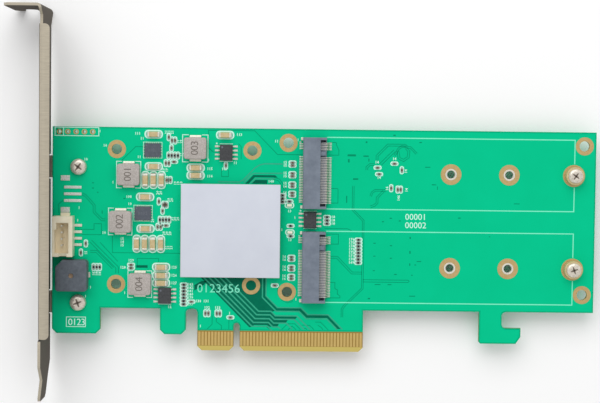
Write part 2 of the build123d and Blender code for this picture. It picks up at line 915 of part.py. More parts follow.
# Module sockets: a housing with a lower jaw, a cover over the slot, a key and walled ends
socket_base = board_top + socket_standing
socket_top = board_top + socket_height
slot_floor = board_top + socket_slot_floor
slot_roof = slot_floor + socket_slot_height
row_half = socket_contact_pitch * (socket_front_count - 1) / 2
socket_width = 2 * (row_half + socket_end_length)
mouth_half = socket_width / 2 - socket_end_wall
key_centre = socket_contact_pitch * (socket_before_key_count + (socket_key_count - 1) / 2) - row_half
pocket_x = (socket_cover_front + socket_pocket_front) / 2
key_end = socket_before_key_count + socket_key_count
front_positions = [
    i for i in range(socket_front_count) if not socket_before_key_count <= i < key_end
]
rear_positions = front_positions[:-1]
for bay_name, bay_y in zip(("lower", "upper"), bay_rows):
    name = bay_name + "_socket"
    with BuildPart() as socket_housing:
        with BuildSketch(Plane.XZ.offset(-bay_y - socket_width / 2)):
            with BuildLine():
                Polyline(
                    (socket_rear, socket_base),
                    (socket_front, socket_base),
                    (socket_front, socket_top),
                    (socket_rear + socket_chamfer, socket_top),
                    (socket_rear, socket_top - socket_chamfer),
                    close=True,
                )
            make_face()
        extrude(amount=socket_width)
        with BuildSketch(Plane.XZ.offset(-bay_y - mouth_half)):
            with BuildLine():
                Polyline(
                    (socket_slot_back, slot_floor),
                    (socket_front, slot_floor),
                    (socket_front, socket_top),
                    (socket_cover_front, socket_top),
                    (socket_cover_front, slot_roof),
                    (socket_slot_back, slot_roof),
                    close=True,
                )
            make_face()
        extrude(amount=2 * mouth_half, mode=Mode.SUBTRACT)
        with BuildSketch(Plane.XZ.offset(-bay_y - key_centre - socket_key_width / 2)):
            box_between(socket_slot_back, socket_pocket_front, slot_floor, slot_roof)
        extrude(amount=socket_key_width)
        with BuildSketch(Plane.XY.offset(slot_floor)):
            for side in (-1, 1):
                with Locations((pocket_x, bay_y + side * (mouth_half - socket_pocket_width / 2))):
                    Rectangle(socket_pocket_front - socket_cover_front, socket_pocket_width)
        extrude(amount=-socket_pocket_depth, mode=Mode.SUBTRACT)
    keep(socket_housing, name + "_housing")
    with BuildPart() as front_contacts:
        for i in front_positions:
            edge_y = bay_y - row_half + socket_contact_pitch * i + socket_contact_width / 2
            with BuildSketch(Plane.XZ.offset(-edge_y)):
                with BuildLine():
                    Polyline(
                        (socket_contact_back, slot_floor),
                        (socket_front, slot_floor),
                        (socket_front, board_top),
                        (socket_front + socket_front_tail, board_top),
                        (socket_front + socket_front_tail, board_top + socket_contact_thickness),
                        (socket_front + socket_contact_thickness, slot_floor + socket_contact_thickness),
                        (socket_contact_back, slot_floor + socket_contact_thickness),
                        close=True,
                    )
                make_face()
            extrude(amount=socket_contact_width)
    keep(front_contacts, name + "_front_contacts")
    with BuildPart() as rear_contacts:
        tail_places = [
            (
                socket_rear - socket_rear_tail / 2,
                bay_y - row_half + socket_contact_pitch * (i + 0.5),
            )
            for i in rear_positions
        ]
        standing_blocks(
            tail_places,
            socket_rear_tail,
            socket_contact_width,
            socket_rear_tail_height,
        )
    keep(rear_contacts, name + "_rear_contacts")
    with BuildPart() as solder_tabs:
        tab_offset = socket_width / 2 - socket_tab_width / 2
        tab_places = [
            (socket_rear - socket_tab_length / 2, bay_y + side * tab_offset) for side in (-1, 1)
        ]
        standing_blocks(tab_places, socket_tab_length, socket_tab_width, socket_tab_height)
    keep(solder_tabs, name + "_solder_tabs")
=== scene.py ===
"""Studio scene of an adapter card with two module bays, dressed over its solid model.

Lengths in the classes are millimetres in the card's own frame: +X away from the slot
bracket, +Y to the card's upper edge and +Z out of the component side. Every mesh is
brought to metres once, when its piece is made.
"""

import logging
import math
from dataclasses import dataclass
from enum import Enum
from typing import Callable, Iterable, Sequence

import bmesh
import bpy
from mathutils import Matrix, Vector


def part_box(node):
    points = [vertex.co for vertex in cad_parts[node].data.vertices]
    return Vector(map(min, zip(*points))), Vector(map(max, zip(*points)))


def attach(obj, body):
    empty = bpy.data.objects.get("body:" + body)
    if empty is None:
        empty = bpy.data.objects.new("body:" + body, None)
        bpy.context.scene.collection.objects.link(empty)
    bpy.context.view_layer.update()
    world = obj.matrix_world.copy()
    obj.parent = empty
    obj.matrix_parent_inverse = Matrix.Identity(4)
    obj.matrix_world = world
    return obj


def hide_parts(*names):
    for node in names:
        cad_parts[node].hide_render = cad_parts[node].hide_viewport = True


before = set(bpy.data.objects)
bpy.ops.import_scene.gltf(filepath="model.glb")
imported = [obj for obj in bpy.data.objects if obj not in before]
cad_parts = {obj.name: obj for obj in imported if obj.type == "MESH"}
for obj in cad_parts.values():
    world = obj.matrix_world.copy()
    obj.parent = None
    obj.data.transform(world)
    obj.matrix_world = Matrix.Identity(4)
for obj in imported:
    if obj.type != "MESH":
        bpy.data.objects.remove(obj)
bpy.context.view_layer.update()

log = logging.getLogger("adapter_card")
MM = 0.001
ROOT = "root"
BOARD_TOP = 0.785
BOARD_BOTTOM = -0.785

Point = tuple[float, float]
Colour = tuple[float, float, float]
Builder = Callable[[bmesh.types.BMesh], None]


class Texture(Enum):
    """How a finish varies over the surface."""

    MOTTLED = "mottled"
    GRAINED = "grained"
    SPECKLED = "speckled"


class Reading(Enum):
    """What a zone of a finish is told by."""

    PLACE = "Object"
    FACING = "Normal"


class Axis(Enum):
    """The three axes of the card's frame."""

    X = "X"
    Y = "Y"
    Z = "Z"


@dataclass(frozen=True)
class Zone:
    """Part of a surface with a colour of its own, or with painted shade or reflection.

    Attributes:
        tone: Colour of the zone, 0 to 255.
        reading: Whether the limits are places in millimetres or parts of the normal.
        limits: Axis, lowest and highest value for each limit that must hold.
        dull: True where the zone neither shines nor shows metal.
    """

    tone: Colour
    reading: Reading
    limits: tuple[tuple[Axis, float, float], ...]
    dull: bool = False


def linear(colour: Colour) -> tuple[float, float, float, float]:
    """Turn an sRGB colour of 0 to 255 into linear light.

    Args:
        colour: Red, green and blue from 0 to 255.

    Returns:
        The linear colour with a full alpha.
    """
    parts = [c / 255.0 for c in colour]
    low = [c / 12.92 if c <= 0.04045 else ((c + 0.055) / 1.055) ** 2.4 for c in parts]
    return (low[0], low[1], low[2], 1.0)


@dataclass(frozen=True)
class Finish:
    """One surface finish, from its colour to its finest grain.

    Attributes:
        name: Name of the material.
        colour: Main colour, 0 to 255.
        shade: Second colour that the texture brings in.
        slot: Material slot of the record; not used in this script.
        texture: How the two colours are spread.
        scale: Texture repeats a metre.
        roughness: Roughness of the surface.
        spread: How far the roughness varies.
        metallic: Share of metal.
        gloss: Strength of the mirror-like share.
        bump: Height of the grain in millimetres.
        stretch: Stretch of the texture along each axis.
        zones: Parts of the surface with another colour.
    """

    name: str
    colour: Colour
    shade: Colour
    slot: str
    texture: Texture = Texture.MOTTLED
    scale: float = 900.0
    roughness: float = 0.45
    spread: float = 0.08
    metallic: float = 0.0
    gloss: float = 0.25
    bump: float = 0.0
    stretch: tuple[float, float, float] = (1.0, 1.0, 1.0)
    zones: tuple[Zone, ...] = ()

    def pattern(self, nodes: bpy.types.Nodes, links: bpy.types.NodeLinks) -> bpy.types.NodeSocket:
        """Return a value from 0 to 1 that mixes the two colours."""
        place = nodes.new("ShaderNodeTexCoord")
        mapping = nodes.new("ShaderNodeMapping")
        mapping.inputs["Scale"].default_value = self.stretch
        links.new(place.outputs["Object"], mapping.inputs["Vector"])
        if self.texture is Texture.SPECKLED:
            cells = nodes.new("ShaderNodeTexVoronoi")
            cells.inputs["Scale"].default_value = self.scale
            links.new(mapping.outputs["Vector"], cells.inputs["Vector"])
            return cells.outputs["Distance"]
        noise = nodes.new("ShaderNodeTexNoise")
        noise.inputs["Scale"].default_value = self.scale
        noise.inputs["Detail"].default_value = 6.0 if self.texture is Texture.GRAINED else 3.0
        noise.inputs["Roughness"].default_value = 0.62
        links.new(mapping.outputs["Vector"], noise.inputs["Vector"])
        return noise.outputs["Fac"]

    def zoned(
        self, nodes: bpy.types.Nodes, links: bpy.types.NodeLinks, colour: bpy.types.NodeSocket
    ) -> bpy.types.NodeSocket:
        """Lay each zone's colour over the main one.

        Args:
            nodes: Nodes of the material.
            links: Links of the material.
            colour: Socket of the main colour.

        Returns:
            The socket of the zoned colour.
        """
        for zone in self.zones:
            place = nodes.new("ShaderNodeTexCoord")
            split = nodes.new("ShaderNodeSeparateXYZ")
            links.new(place.outputs[zone.reading.value], split.inputs["Vector"])
            unit = MM if zone.reading is Reading.PLACE else 1.0
            inside = None
            for axis, low, high in zone.limits:
                test = nodes.new("ShaderNodeMath")
                test.operation = "COMPARE"
                test.inputs[1].default_value = (low + high) / 2 * unit
                test.inputs[2].default_value = (high - low) / 2 * unit
                links.new(split.outputs[axis.value], test.inputs[0])
                if inside is None:
                    inside = test.outputs["Value"]
                    continue
                both = nodes.new("ShaderNodeMath")
                both.operation = "MULTIPLY"
                links.new(inside, both.inputs[0])
                links.new(test.outputs["Value"], both.inputs[1])
                inside = both.outputs["Value"]
            mix = nodes.new("ShaderNodeMix")
            mix.data_type = "RGBA"
            links.new(inside, mix.inputs["Factor"])
            links.new(colour, mix.inputs["A"])
            mix.inputs["B"].default_value = linear(zone.tone)
            colour = mix.outputs["Result"]
            if zone.dull:
                self.dim(nodes, links, inside)
        return colour

    def dim(
        self, nodes: bpy.types.Nodes, links: bpy.types.NodeLinks, inside: bpy.types.NodeSocket
    ) -> None:
        """Take the shine and the metal out of a zone."""
        shader = nodes["Principled BSDF"]
        for socket, value in (("Metallic", self.metallic), ("Specular IOR Level", self.gloss)):
            fade = nodes.new("ShaderNodeMapRange")
            fade.inputs["To Min"].default_value = value
            fade.inputs["To Max"].default_value = 0.0
            links.new(inside, fade.inputs["Value"])
            links.new(fade.outputs["Result"], shader.inputs[socket])

    def build(self) -> bpy.types.Material:
        """Make the material, or return it if it exists."""
        label = self.name + "_finish"
        known = bpy.data.materials.get(label)
        if known is not None:
            return known
        material = bpy.data.materials.new(label)
        material.use_nodes = True
        nodes, links = material.node_tree.nodes, material.node_tree.links
        shader = nodes["Principled BSDF"]
        shader.inputs["Metallic"].default_value = self.metallic
        shader.inputs["Specular IOR Level"].default_value = self.gloss
        value = self.pattern(nodes, links)
        ramp = nodes.new("ShaderNodeValToRGB")
        ramp.color_ramp.elements[0].position = 0.32
        ramp.color_ramp.elements[1].position = 0.68
        ramp.color_ramp.elements[0].color = linear(self.shade)
        ramp.color_ramp.elements[1].color = linear(self.colour)
        links.new(value, ramp.inputs["Fac"])
        links.new(self.zoned(nodes, links, ramp.outputs["Color"]), shader.inputs["Base Color"])
        rough = nodes.new("ShaderNodeMapRange")
        rough.inputs["To Min"].default_value = max(self.roughness - self.spread, 0.03)
        rough.inputs["To Max"].default_value = self.roughness + self.spread
        links.new(value, rough.inputs["Value"])
        links.new(rough.outputs["Result"], shader.inputs["Roughness"])
        if self.bump:
            relief = nodes.new("ShaderNodeBump")
            relief.inputs["Distance"].default_value = self.bump * MM
            relief.inputs["Strength"].default_value = 0.6
            links.new(value, relief.inputs["Height"])
            links.new(relief.outputs["Normal"], shader.inputs["Normal"])
        return material


SIDES = ((Axis.Z, -0.45, 0.45),)
MASK = Finish(
    "green_mask", (0, 198, 143), (0, 194, 139), "solder_mask", scale=60.0, roughness=0.42,
    spread=0.04, gloss=0.05,
    zones=(
        Zone((152, 121, 58), Reading.PLACE, ((Axis.X, -12.4, 39.4), (Axis.Y, -1.0, 6.25))),
        Zone((206, 187, 106), Reading.PLACE, ((Axis.X, -12.4, 39.4), (Axis.Y, -1.0, 1.5))),
        Zone((118, 140, 84), Reading.FACING, SIDES),
    ),
)
GAP = Finish(
    "masked_gap", (0, 112, 84), (0, 104, 78), "solder_mask", scale=400.0, roughness=0.4, gloss=0.05
)
TRACK = Finish(
    "masked_track", (58, 172, 138), (48, 164, 130), "solder_mask", scale=700.0, roughness=0.35,
    gloss=0.08,
)
SEAM = Finish(
    "masked_seam", (0, 146, 104), (0, 138, 97), "solder_mask", scale=700.0, roughness=0.4,
    gloss=0.05,
)
# A darker green band along the board's outline.
BORDER = Finish(
    "darker_edge_band", (0, 176, 127), (0, 168, 120), "solder_mask", scale=500.0, roughness=0.4,
    gloss=0.05,
)
PRINT = Finish(
    "white_print", (216, 252, 240), (200, 248, 231), "solder_mask", Texture.GRAINED, 3000.0, 0.6
)
PALE_PRINT = Finish(
    "pale_print", (138, 242, 208), (122, 236, 198), "solder_mask", Texture.GRAINED, 3000.0, 0.6
)
GOLD = Finish(
    "gold_plate", (204, 176, 124), (192, 162, 108), "gold_plating", Texture.GRAINED, 1400.0,
    0.4, 0.1, metallic=0.45, bump=0.01,
)
POST_GOLD = Finish(
    "post_gold", (222, 204, 160), (202, 182, 134), "gold_plating", Texture.GRAINED, 1400.0,
    0.36, 0.1, metallic=0.45, bump=0.01,
)
FINGER_GOLD = Finish(
    "contact_gold", (213, 184, 116), (202, 173, 105), "gold_plating", Texture.GRAINED, 500.0,
    0.36, 0.08, metallic=0.5, stretch=(6.0, 1.0, 1.0),
)
# Nickel sheet. Its zone darkens and dulls every face that faces sideways: a painted dark
# reflection of the sheet seen edge-on.
SHEET = Finish(
    "nickel_sheet", (188, 179, 160), (174, 165, 148), "nickel_sheet", Texture.GRAINED, 260.0,
    0.46, 0.1, metallic=0.25, gloss=0.15, bump=0.008, stretch=(1.0, 9.0, 1.0),
    zones=(Zone((104, 99, 93), Reading.FACING, ((Axis.Z, -0.6, 0.6),), dull=True),),
)
SCREW = Finish(
    "plated_screw", (240, 232, 218), (198, 189, 175), "bright_screw", Texture.GRAINED, 1600.0,
    0.3, 0.1, metallic=0.5, bump=0.01,
)
# Darker finish for the screws' cross recesses: painted shade, since the plated metal there only
# looks dark because the recess is in shade.
RECESS_SHADE = Finish(
    "painted_recess_shade", (138, 126, 114), (100, 90, 80), "bright_screw", Texture.GRAINED, 2200.0,
    0.4, 0.1, metallic=0.7,
)
TIN = Finish(
    "tinned_metal", (240, 236, 224), (212, 206, 192), "tinned_metal", Texture.GRAINED, 2500.0,
    0.36, 0.12, metallic=0.45, bump=0.01,
)
SOCKET_TIN = Finish(
    "socket_contact", (232, 229, 218), (208, 204, 193), "tinned_metal", Texture.GRAINED, 2500.0,
    0.36, 0.1, metallic=0.35,
    zones=(Zone((206, 203, 200), Reading.PLACE, ((Axis.X, 20.0, 26.7),)),),
)
SOLDER = Finish(
    "solder_joint", (228, 230, 223), (198, 201, 194), "tinned_metal", Texture.MOTTLED, 3000.0,
    0.3, 0.1, metallic=0.4, bump=0.02,
)
REGULATOR = Finish(
    "flat_chip_mould", (95, 100, 109), (83, 88, 97), "chip_mould", Texture.GRAINED, 1400.0,
    0.5, 0.1, gloss=0.08, bump=0.01,
)
MOULD = Finish(
    "chip_mould", (80, 81, 83), (66, 67, 69), "chip_mould", Texture.GRAINED, 1600.0, 0.6, 0.1,
    gloss=0.05, bump=0.01,
)
CHIP_MARK = Finish(
    "chip_mark", (112, 116, 126), (98, 102, 110), "chip_mould", Texture.GRAINED, 3500.0, 0.6
)
PAD = Finish(
    "soft_pad", (210, 214, 224), (204, 208, 219), "pad_grey", Texture.MOTTLED, 90.0, 0.66, 0.06,
    gloss=0.15, bump=0.02,
)
IRON = Finish(
    "pressed_iron", (184, 177, 172), (166, 159, 153), "pressed_iron", Texture.SPECKLED, 3200.0,
    0.6, 0.1, bump=0.02,
)
IRON_MARK = Finish(
    "iron_mark", (124, 116, 110), (108, 102, 96), "pressed_iron", Texture.GRAINED, 2600.0, 0.6
)
SOUNDER = Finish(
    "sounder_mould", (101, 108, 116), (84, 90, 98), "sounder_grey", Texture.GRAINED, 700.0, 0.5,
    0.1, gloss=0.2, bump=0.02,
)
BORE = Finish("sound_bore", (168, 146, 122), (128, 108, 88), "sounder_grey", roughness=0.6)
IVORY = Finish(
    "ivory_mould", (244, 236, 212), (234, 224, 196), "ivory_plastic", Texture.MOTTLED, 300.0,
    0.36, 0.06,
    zones=(
        # Slightly darker, warmer tone on the housing's lower part up to 2.4 mm, which takes in the
        # cavity floor: painted shade of the cavity.
        Zone((240, 224, 192), Reading.PLACE,
             ((Axis.X, -55.95, -51.45), (Axis.Y, 29.95, 39.45), (Axis.Z, 0.7, 2.4))),
    ),
)
SOCKET = Finish(
    "socket_mould", (124, 133, 146), (109, 118, 131), "socket_grey", Texture.GRAINED, 420.0, 0.44,
    0.1, gloss=0.22, bump=0.012,
)
CERAMIC = Finish(
    "fired_ceramic", (206, 188, 146), (188, 166, 120), "capacitor_tan", Texture.GRAINED, 1200.0,
    0.42, 0.08,
)
SMALL_CERAMIC = Finish(
    "small_ceramic", (112, 98, 82), (90, 78, 64), "capacitor_tan", Texture.GRAINED, 2600.0, 0.42
)
SMALL_END = Finish(
    "small_end", (168, 164, 154), (132, 128, 120), "tinned_metal", Texture.GRAINED, 2500.0,
    0.4, 0.1, metallic=0.5,
)
GLAZE = Finish(
    "resistor_glaze", (42, 46, 48), (30, 34, 36), "resistor_dark", Texture.GRAINED, 3000.0, 0.4
)
LAMP = Finish(
    "lamp_cap", (244, 242, 222), (232, 230, 204), "lamp_clear", Texture.MOTTLED, 1200.0, 0.2
)


def stated(
    obj: bpy.types.Object, finish: Finish, stands_for: Iterable[str] = ()
) -> bpy.types.Object:
    """Give a piece its finish and its body.

    Args:
        obj: The new piece.
        finish: The finish of its faces.
        stands_for: The solid nodes that it is shown in place of.

    Returns:
        The same piece.
    """
    obj.data.materials.clear()
    obj.data.materials.append(finish.build())
    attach(obj, ROOT)
    nodes = list(stands_for)
    if nodes:
        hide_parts(*nodes)
    return obj


def make_piece(
    name: str, finish: Finish, shape: Builder, stands_for: Iterable[str] = (), smooth: bool = False
) -> bpy.types.Object:
    """Build a piece in millimetres and bring it to metres.

    Args:
        name: Name of the piece.
        finish: Its finish.
        shape: Function that fills an empty bmesh.
        stands_for: Nodes that it replaces.
        smooth: True where the faces are shaded as one curved surface.

    Returns:
        The new object.
    """
    bm = bmesh.new()
    shape(bm)
    bmesh.ops.recalc_face_normals(bm, faces=bm.faces)
    bmesh.ops.scale(bm, vec=(MM, MM, MM), verts=bm.verts)
    for face in bm.faces:
        face.smooth = smooth
    mesh = bpy.data.meshes.new(name)
    bm.to_mesh(mesh)
    bm.free()
    if smooth:
        mesh.set_sharp_from_angle(angle=math.radians(35))
    obj = bpy.data.objects.new(name, mesh)
    bpy.context.scene.collection.objects.link(obj)
    return stated(obj, finish, stands_for)


def paint_node(node: str, finish: Finish) -> None:
    """Give a solid node, whose shape is kept, its finish."""
    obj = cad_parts[node]
    obj.data.materials.clear()
    obj.data.materials.append(finish.build())


def merged_node(node: str) -> bmesh.types.BMesh:
    """Return a node's mesh in millimetres, with its loose triangles joined.

    Args:
        node: Name of the solid node.

    Returns:
        A new bmesh with flat faces made whole.
    """
    bm = bmesh.new()
    bm.from_mesh(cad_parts[node].data)
    bmesh.ops.scale(bm, vec=(1 / MM, 1 / MM, 1 / MM), verts=bm.verts)
    bmesh.ops.remove_doubles(bm, verts=bm.verts, dist=0.0004)
    bmesh.ops.dissolve_limit(
        bm, angle_limit=math.radians(0.5), verts=bm.verts, edges=bm.edges, delimit={"NORMAL"}
    )
    return bm


def node_box(node: str) -> tuple[Vector, Vector]:
    """Return a node's lowest and highest corner in millimetres."""
    low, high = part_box(node)
    return low / MM, high / MM


def soften_node(
    node: str, finish: Finish, width: float, segments: int = 2, sharp: float = 32.0
) -> bpy.types.Object:
    """Show a node by a copy with broken edges.

    Args:
        node: Name of the solid node.
        finish: Finish of the copy.
        width: Width of the broken edge.
        segments: Steps across it.
        sharp: Least angle, in degrees, of an edge that is broken.

    Returns:
        The copy.
    """
    bm = merged_node(node)
    edges = [
        edge
        for edge in bm.edges
        if edge.is_manifold and edge.calc_face_angle(0.0) > math.radians(sharp)
    ]
    bmesh.ops.bevel(
        bm, geom=edges, offset=width, offset_type="OFFSET", segments=segments, profile=0.5,
        affect="EDGES", material=-1, clamp_overlap=True,
    )
    bmesh.ops.scale(bm, vec=(MM, MM, MM), verts=bm.verts)
    for face in bm.faces:
        face.smooth = True
    mesh = bpy.data.meshes.new(node + "_rounded")
    bm.to_mesh(mesh)
    bm.free()
    mesh.set_sharp_from_angle(angle=math.radians(25))
    obj = bpy.data.objects.new(node + "_rounded", mesh)
    bpy.context.scene.collection.objects.link(obj)
    return stated(obj, finish, [node])


def solid_boxes(node: str) -> list[tuple[Vector, Vector]]:
    """Return the box of each separate solid in a node.

    Args:
        node: Name of the solid node.

    Returns:
        Lowest and highest corners in millimetres.
    """
    bm = merged_node(node)
    left = set(bm.verts)
    boxes = []
    while left:
        queue = [left.pop()]
        group = list(queue)
        while queue:
            here = queue.pop()
            for edge in here.link_edges:
                other = edge.other_vert(here)
                if other in left:
                    left.discard(other)
                    queue.append(other)
                    group.append(other)
        low = Vector([min(v.co[i] for v in group) for i in range(3)])
        high = Vector([max(v.co[i] for v in group) for i in range(3)])
        boxes.append((low, high))
    bm.free()
    return sorted(boxes, key=lambda pair: tuple(pair[0]))


def block(
    bm: bmesh.types.BMesh, low: Sequence[float], high: Sequence[float]
) -> list[bmesh.types.BMVert]:
    """Add a block between two corners and return its corners."""
    middle = [(a + b) / 2 for a, b in zip(low, high)]
    size = [b - a for a, b in zip(low, high)]
    matrix = Matrix.Translation(middle) @ Matrix.Diagonal((*size, 1.0))
    return bmesh.ops.create_cube(bm, size=1.0, matrix=matrix)["verts"]


def broken_block(
    bm: bmesh.types.BMesh, low: Sequence[float], high: Sequence[float], width: float,
    segments: int = 2,
) -> None:
    """Add a block whose edges are broken by a small width."""
    verts = block(bm, low, high)
    edges = list({edge for vert in verts for edge in vert.link_edges})
    bmesh.ops.bevel(
        bm, geom=edges, offset=width, offset_type="OFFSET", segments=segments, profile=0.5,
        affect="EDGES", material=-1, clamp_overlap=True,
    )


def slab(bm: bmesh.types.BMesh, corners: Sequence[Point], low: float, high: float) -> None:
    """Add a flat piece with the given outline between two levels."""
    face = bm.faces.new([bm.verts.new((x, y, low)) for x, y in corners])
    grown = bmesh.ops.extrude_face_region(bm, geom=[face], use_keep_orig=True)["geom"]
    top = [item for item in grown if isinstance(item, bmesh.types.BMVert)]
    bmesh.ops.translate(bm, vec=(0.0, 0.0, high - low), verts=top)


def bar(
    bm: bmesh.types.BMesh, start: Point, end: Point, width: float, low: float, high: float
) -> None:
    """Add a flat bar between two points, half its width past each."""
    a, b = Vector((*start, 0.0)), Vector((*end, 0.0))
    run = b - a
    middle = (a + b) / 2
    middle.z = (low + high) / 2
    matrix = (
        Matrix.Translation(middle)
        @ Matrix.Rotation(math.atan2(run.y, run.x), 4, "Z")
        @ Matrix.Diagonal((run.length + width, width, high - low, 1.0))
    )
    bmesh.ops.create_cube(bm, size=1.0, matrix=matrix)


def route(
    bm: bmesh.types.BMesh, points: Sequence[Point], width: float, low: float, high: float,
    closed: bool = False,
) -> None:
    """Add a flat band of one width along a route, mitred at each bend.

    Args:
        bm: The bmesh to add to.
        points: Middle line of the band.
        width: Width of the band.
        low: Lower level.
        high: Upper level.
        closed: True where the last point leads back to the first.
    """
    rows = [
        [bm.verts.new((x, y, low)) for x, y in beside(points, gap, closed)]
        for gap in (width / 2, -width / 2)
    ]
    count = len(points)
    faces = []
    for i in range(count if closed else count - 1):
        j = (i + 1) % count
        faces.append(bm.faces.new((rows[0][i], rows[1][i], rows[1][j], rows[0][j])))
    grown = bmesh.ops.extrude_face_region(bm, geom=faces, use_keep_orig=True)["geom"]
    top = [item for item in grown if isinstance(item, bmesh.types.BMVert)]
    bmesh.ops.translate(bm, vec=(0.0, 0.0, high - low), verts=top)


def beside(points: Sequence[Point], gap: float, closed: bool = False) -> list[Point]:
    """Return a route that keeps a distance from another one.

    Args:
        points: The first route.
        gap: Distance to its left, or to its right where it is negative.
        closed: True where the last point leads back to the first.

    Returns:
        The points of the second route.
    """
    path = [Vector(p) for p in points]
    last = len(path) - 1
    moved: list[Point] = []
    for i, here in enumerate(path):
        before = (here - path[i - 1]).normalized() if i or closed else None
        after = (path[(i + 1) % len(path)] - here).normalized() if i < last or closed else None
        first, second = before or after, after or before
        normal = Vector((-first.y - second.y, first.x + second.x)).normalized()
        share = max(normal.dot(Vector((-first.y, first.x))), 0.4)
        place = here + normal * (gap / share)
        moved.append((place.x, place.y))
    return moved


def turned(
    bm: bmesh.types.BMesh, profile: Sequence[Point], centre: Point, steps: int = 32,
    closed: bool = False,
) -> None:
    """Spin a profile of radius and height about an upright axis.

    Args:
        bm: The bmesh to add to.
        profile: Points of radius and height.
        centre: Place of the axis.
        steps: Steps of the full turn.
        closed: True where the profile is a closed ring.
    """
    part = bmesh.new()
    verts = [part.verts.new((centre[0] + r, centre[1], z)) for r, z in profile]
    pairs = list(zip(verts, verts[1:]))
    if closed:
        pairs.append((verts[-1], verts[0]))
    edges = [part.edges.new(pair) for pair in pairs]
    bmesh.ops.spin(
        part, geom=verts + edges, cent=(*centre, 0.0), axis=(0.0, 0.0, 1.0), angle=math.tau,
        steps=steps, use_merge=True, use_duplicate=False,
    )
    bmesh.ops.remove_doubles(part, verts=part.verts, dist=0.0005)
    join(bm, part, Matrix.Identity(4))


def join(bm: bmesh.types.BMesh, part: bmesh.types.BMesh, place: Matrix) -> None:
    """Add another bmesh at a place and free it."""
    bmesh.ops.transform(part, matrix=place, verts=part.verts)
    mesh = bpy.data.meshes.new("part")
    part.to_mesh(mesh)
    part.free()
    bm.from_mesh(mesh)
    bpy.data.meshes.remove(mesh)


def washer(
    bm: bmesh.types.BMesh, centre: Point, inner: float, outer: float, low: float, high: float,
    steps: int = 36,
) -> None:
    """Add a flat ring with a slightly rounded outer edge."""
    soft = min(0.3 * (high - low), 0.05)
    profile = [
        (inner, low), (outer, low), (outer, high - soft), (outer - soft, high), (inner, high),
    ]
    turned(bm, profile, centre, steps, closed=True)


def frame_box(
    bm: bmesh.types.BMesh, low_corner: Point, high_corner: Point, width: float, low: float,
    high: float,
) -> None:
    """Add a line round a rectangle."""
    (x0, y0), (x1, y1) = low_corner, high_corner
    route(bm, [(x0, y0), (x1, y0), (x1, y1), (x0, y1)], width, low, high, closed=True)


def oval(
    bm: bmesh.types.BMesh, centre: Point, half_x: float, half_y: float, width: float, low: float,
    high: float,
) -> None:
    """Add a ring with rounded ends round a small part.

    Args:
        bm: The bmesh to add to.
        centre: Middle of the ring.
        half_x: Half of its size along X, to the middle of the line.
        half_y: Half of its size along Y.
        width: Width of the line.
        low: Lower level.
        high: Upper level.
    """
    corner = min(half_x, half_y) * 0.85
    steps = 3
    points: list[Point] = []
    for quarter, (sx, sy) in enumerate(((1, 1), (-1, 1), (-1, -1), (1, -1))):
        cx = centre[0] + sx * (half_x - corner)
        cy = centre[1] + sy * (half_y - corner)
        for i in range(steps + 1):
            angle = math.pi / 2 * (quarter + i / steps)
            points.append((cx + corner * math.cos(angle), cy + corner * math.sin(angle)))
    route(bm, points, width, low, high, closed=True)


class Numerals:
    """Plain digits as flat meshes, each made once and then placed."""

    def __init__(self) -> None:
        """Start with no digit made."""
        self.made: dict[str, bpy.types.Mesh] = {}

    def digit(self, sign: str, bold: bool) -> bpy.types.Mesh:
        """Return the mesh of one digit, one unit high.

        Args:
            sign: The digit.
            bold: True for broader strokes with fewer steps.

        Returns:
            Its mesh, with the lower left corner at the origin.
        """
        key = sign + str(bold)
        if key not in self.made:
            text = bpy.data.curves.new("numeral", "FONT")
            text.body = sign
            text.size = 1.4
            text.extrude = 0.5
            text.resolution_u = 1 if bold else 3
            text.offset = 0.035 if bold else 0.0
            holder = bpy.data.objects.new("numeral", text)
            self.made[key] = bpy.data.meshes.new_from_object(holder)
            bpy.data.objects.remove(holder)
        return self.made[key]

    def write(
        self, bm: bmesh.types.BMesh, text: str, start: Point, height: float, pitch: float,
        low: float, high: float, turn: float = 0.0, bold: bool = False,
    ) -> None:
        """Add digits along a line.

        Args:
            bm: The bmesh to add to.
            text: The digits.
            start: Lower left corner of the first one.
            height: Height of a digit.
            pitch: Distance from one digit to the next.
            low: Lower level.
            high: Upper level.
            turn: Turn of the line in degrees.
            bold: True for broader strokes.
        """
        spin = Matrix.Rotation(math.radians(turn), 4, "Z")
        for i, sign in enumerate(text):
            part = bmesh.new()
            part.from_mesh(self.digit(sign, bold))
            bmesh.ops.remove_doubles(part, verts=part.verts, dist=0.0001)
            place = (
                Matrix.Translation((start[0], start[1], (low + high) / 2))
                @ spin
                @ Matrix.Translation((i * pitch, 0.0, 0.0))
                @ Matrix.Diagonal((height, height, high - low, 1.0))
            )
            join(bm, part, place)


NUMERALS = Numerals()


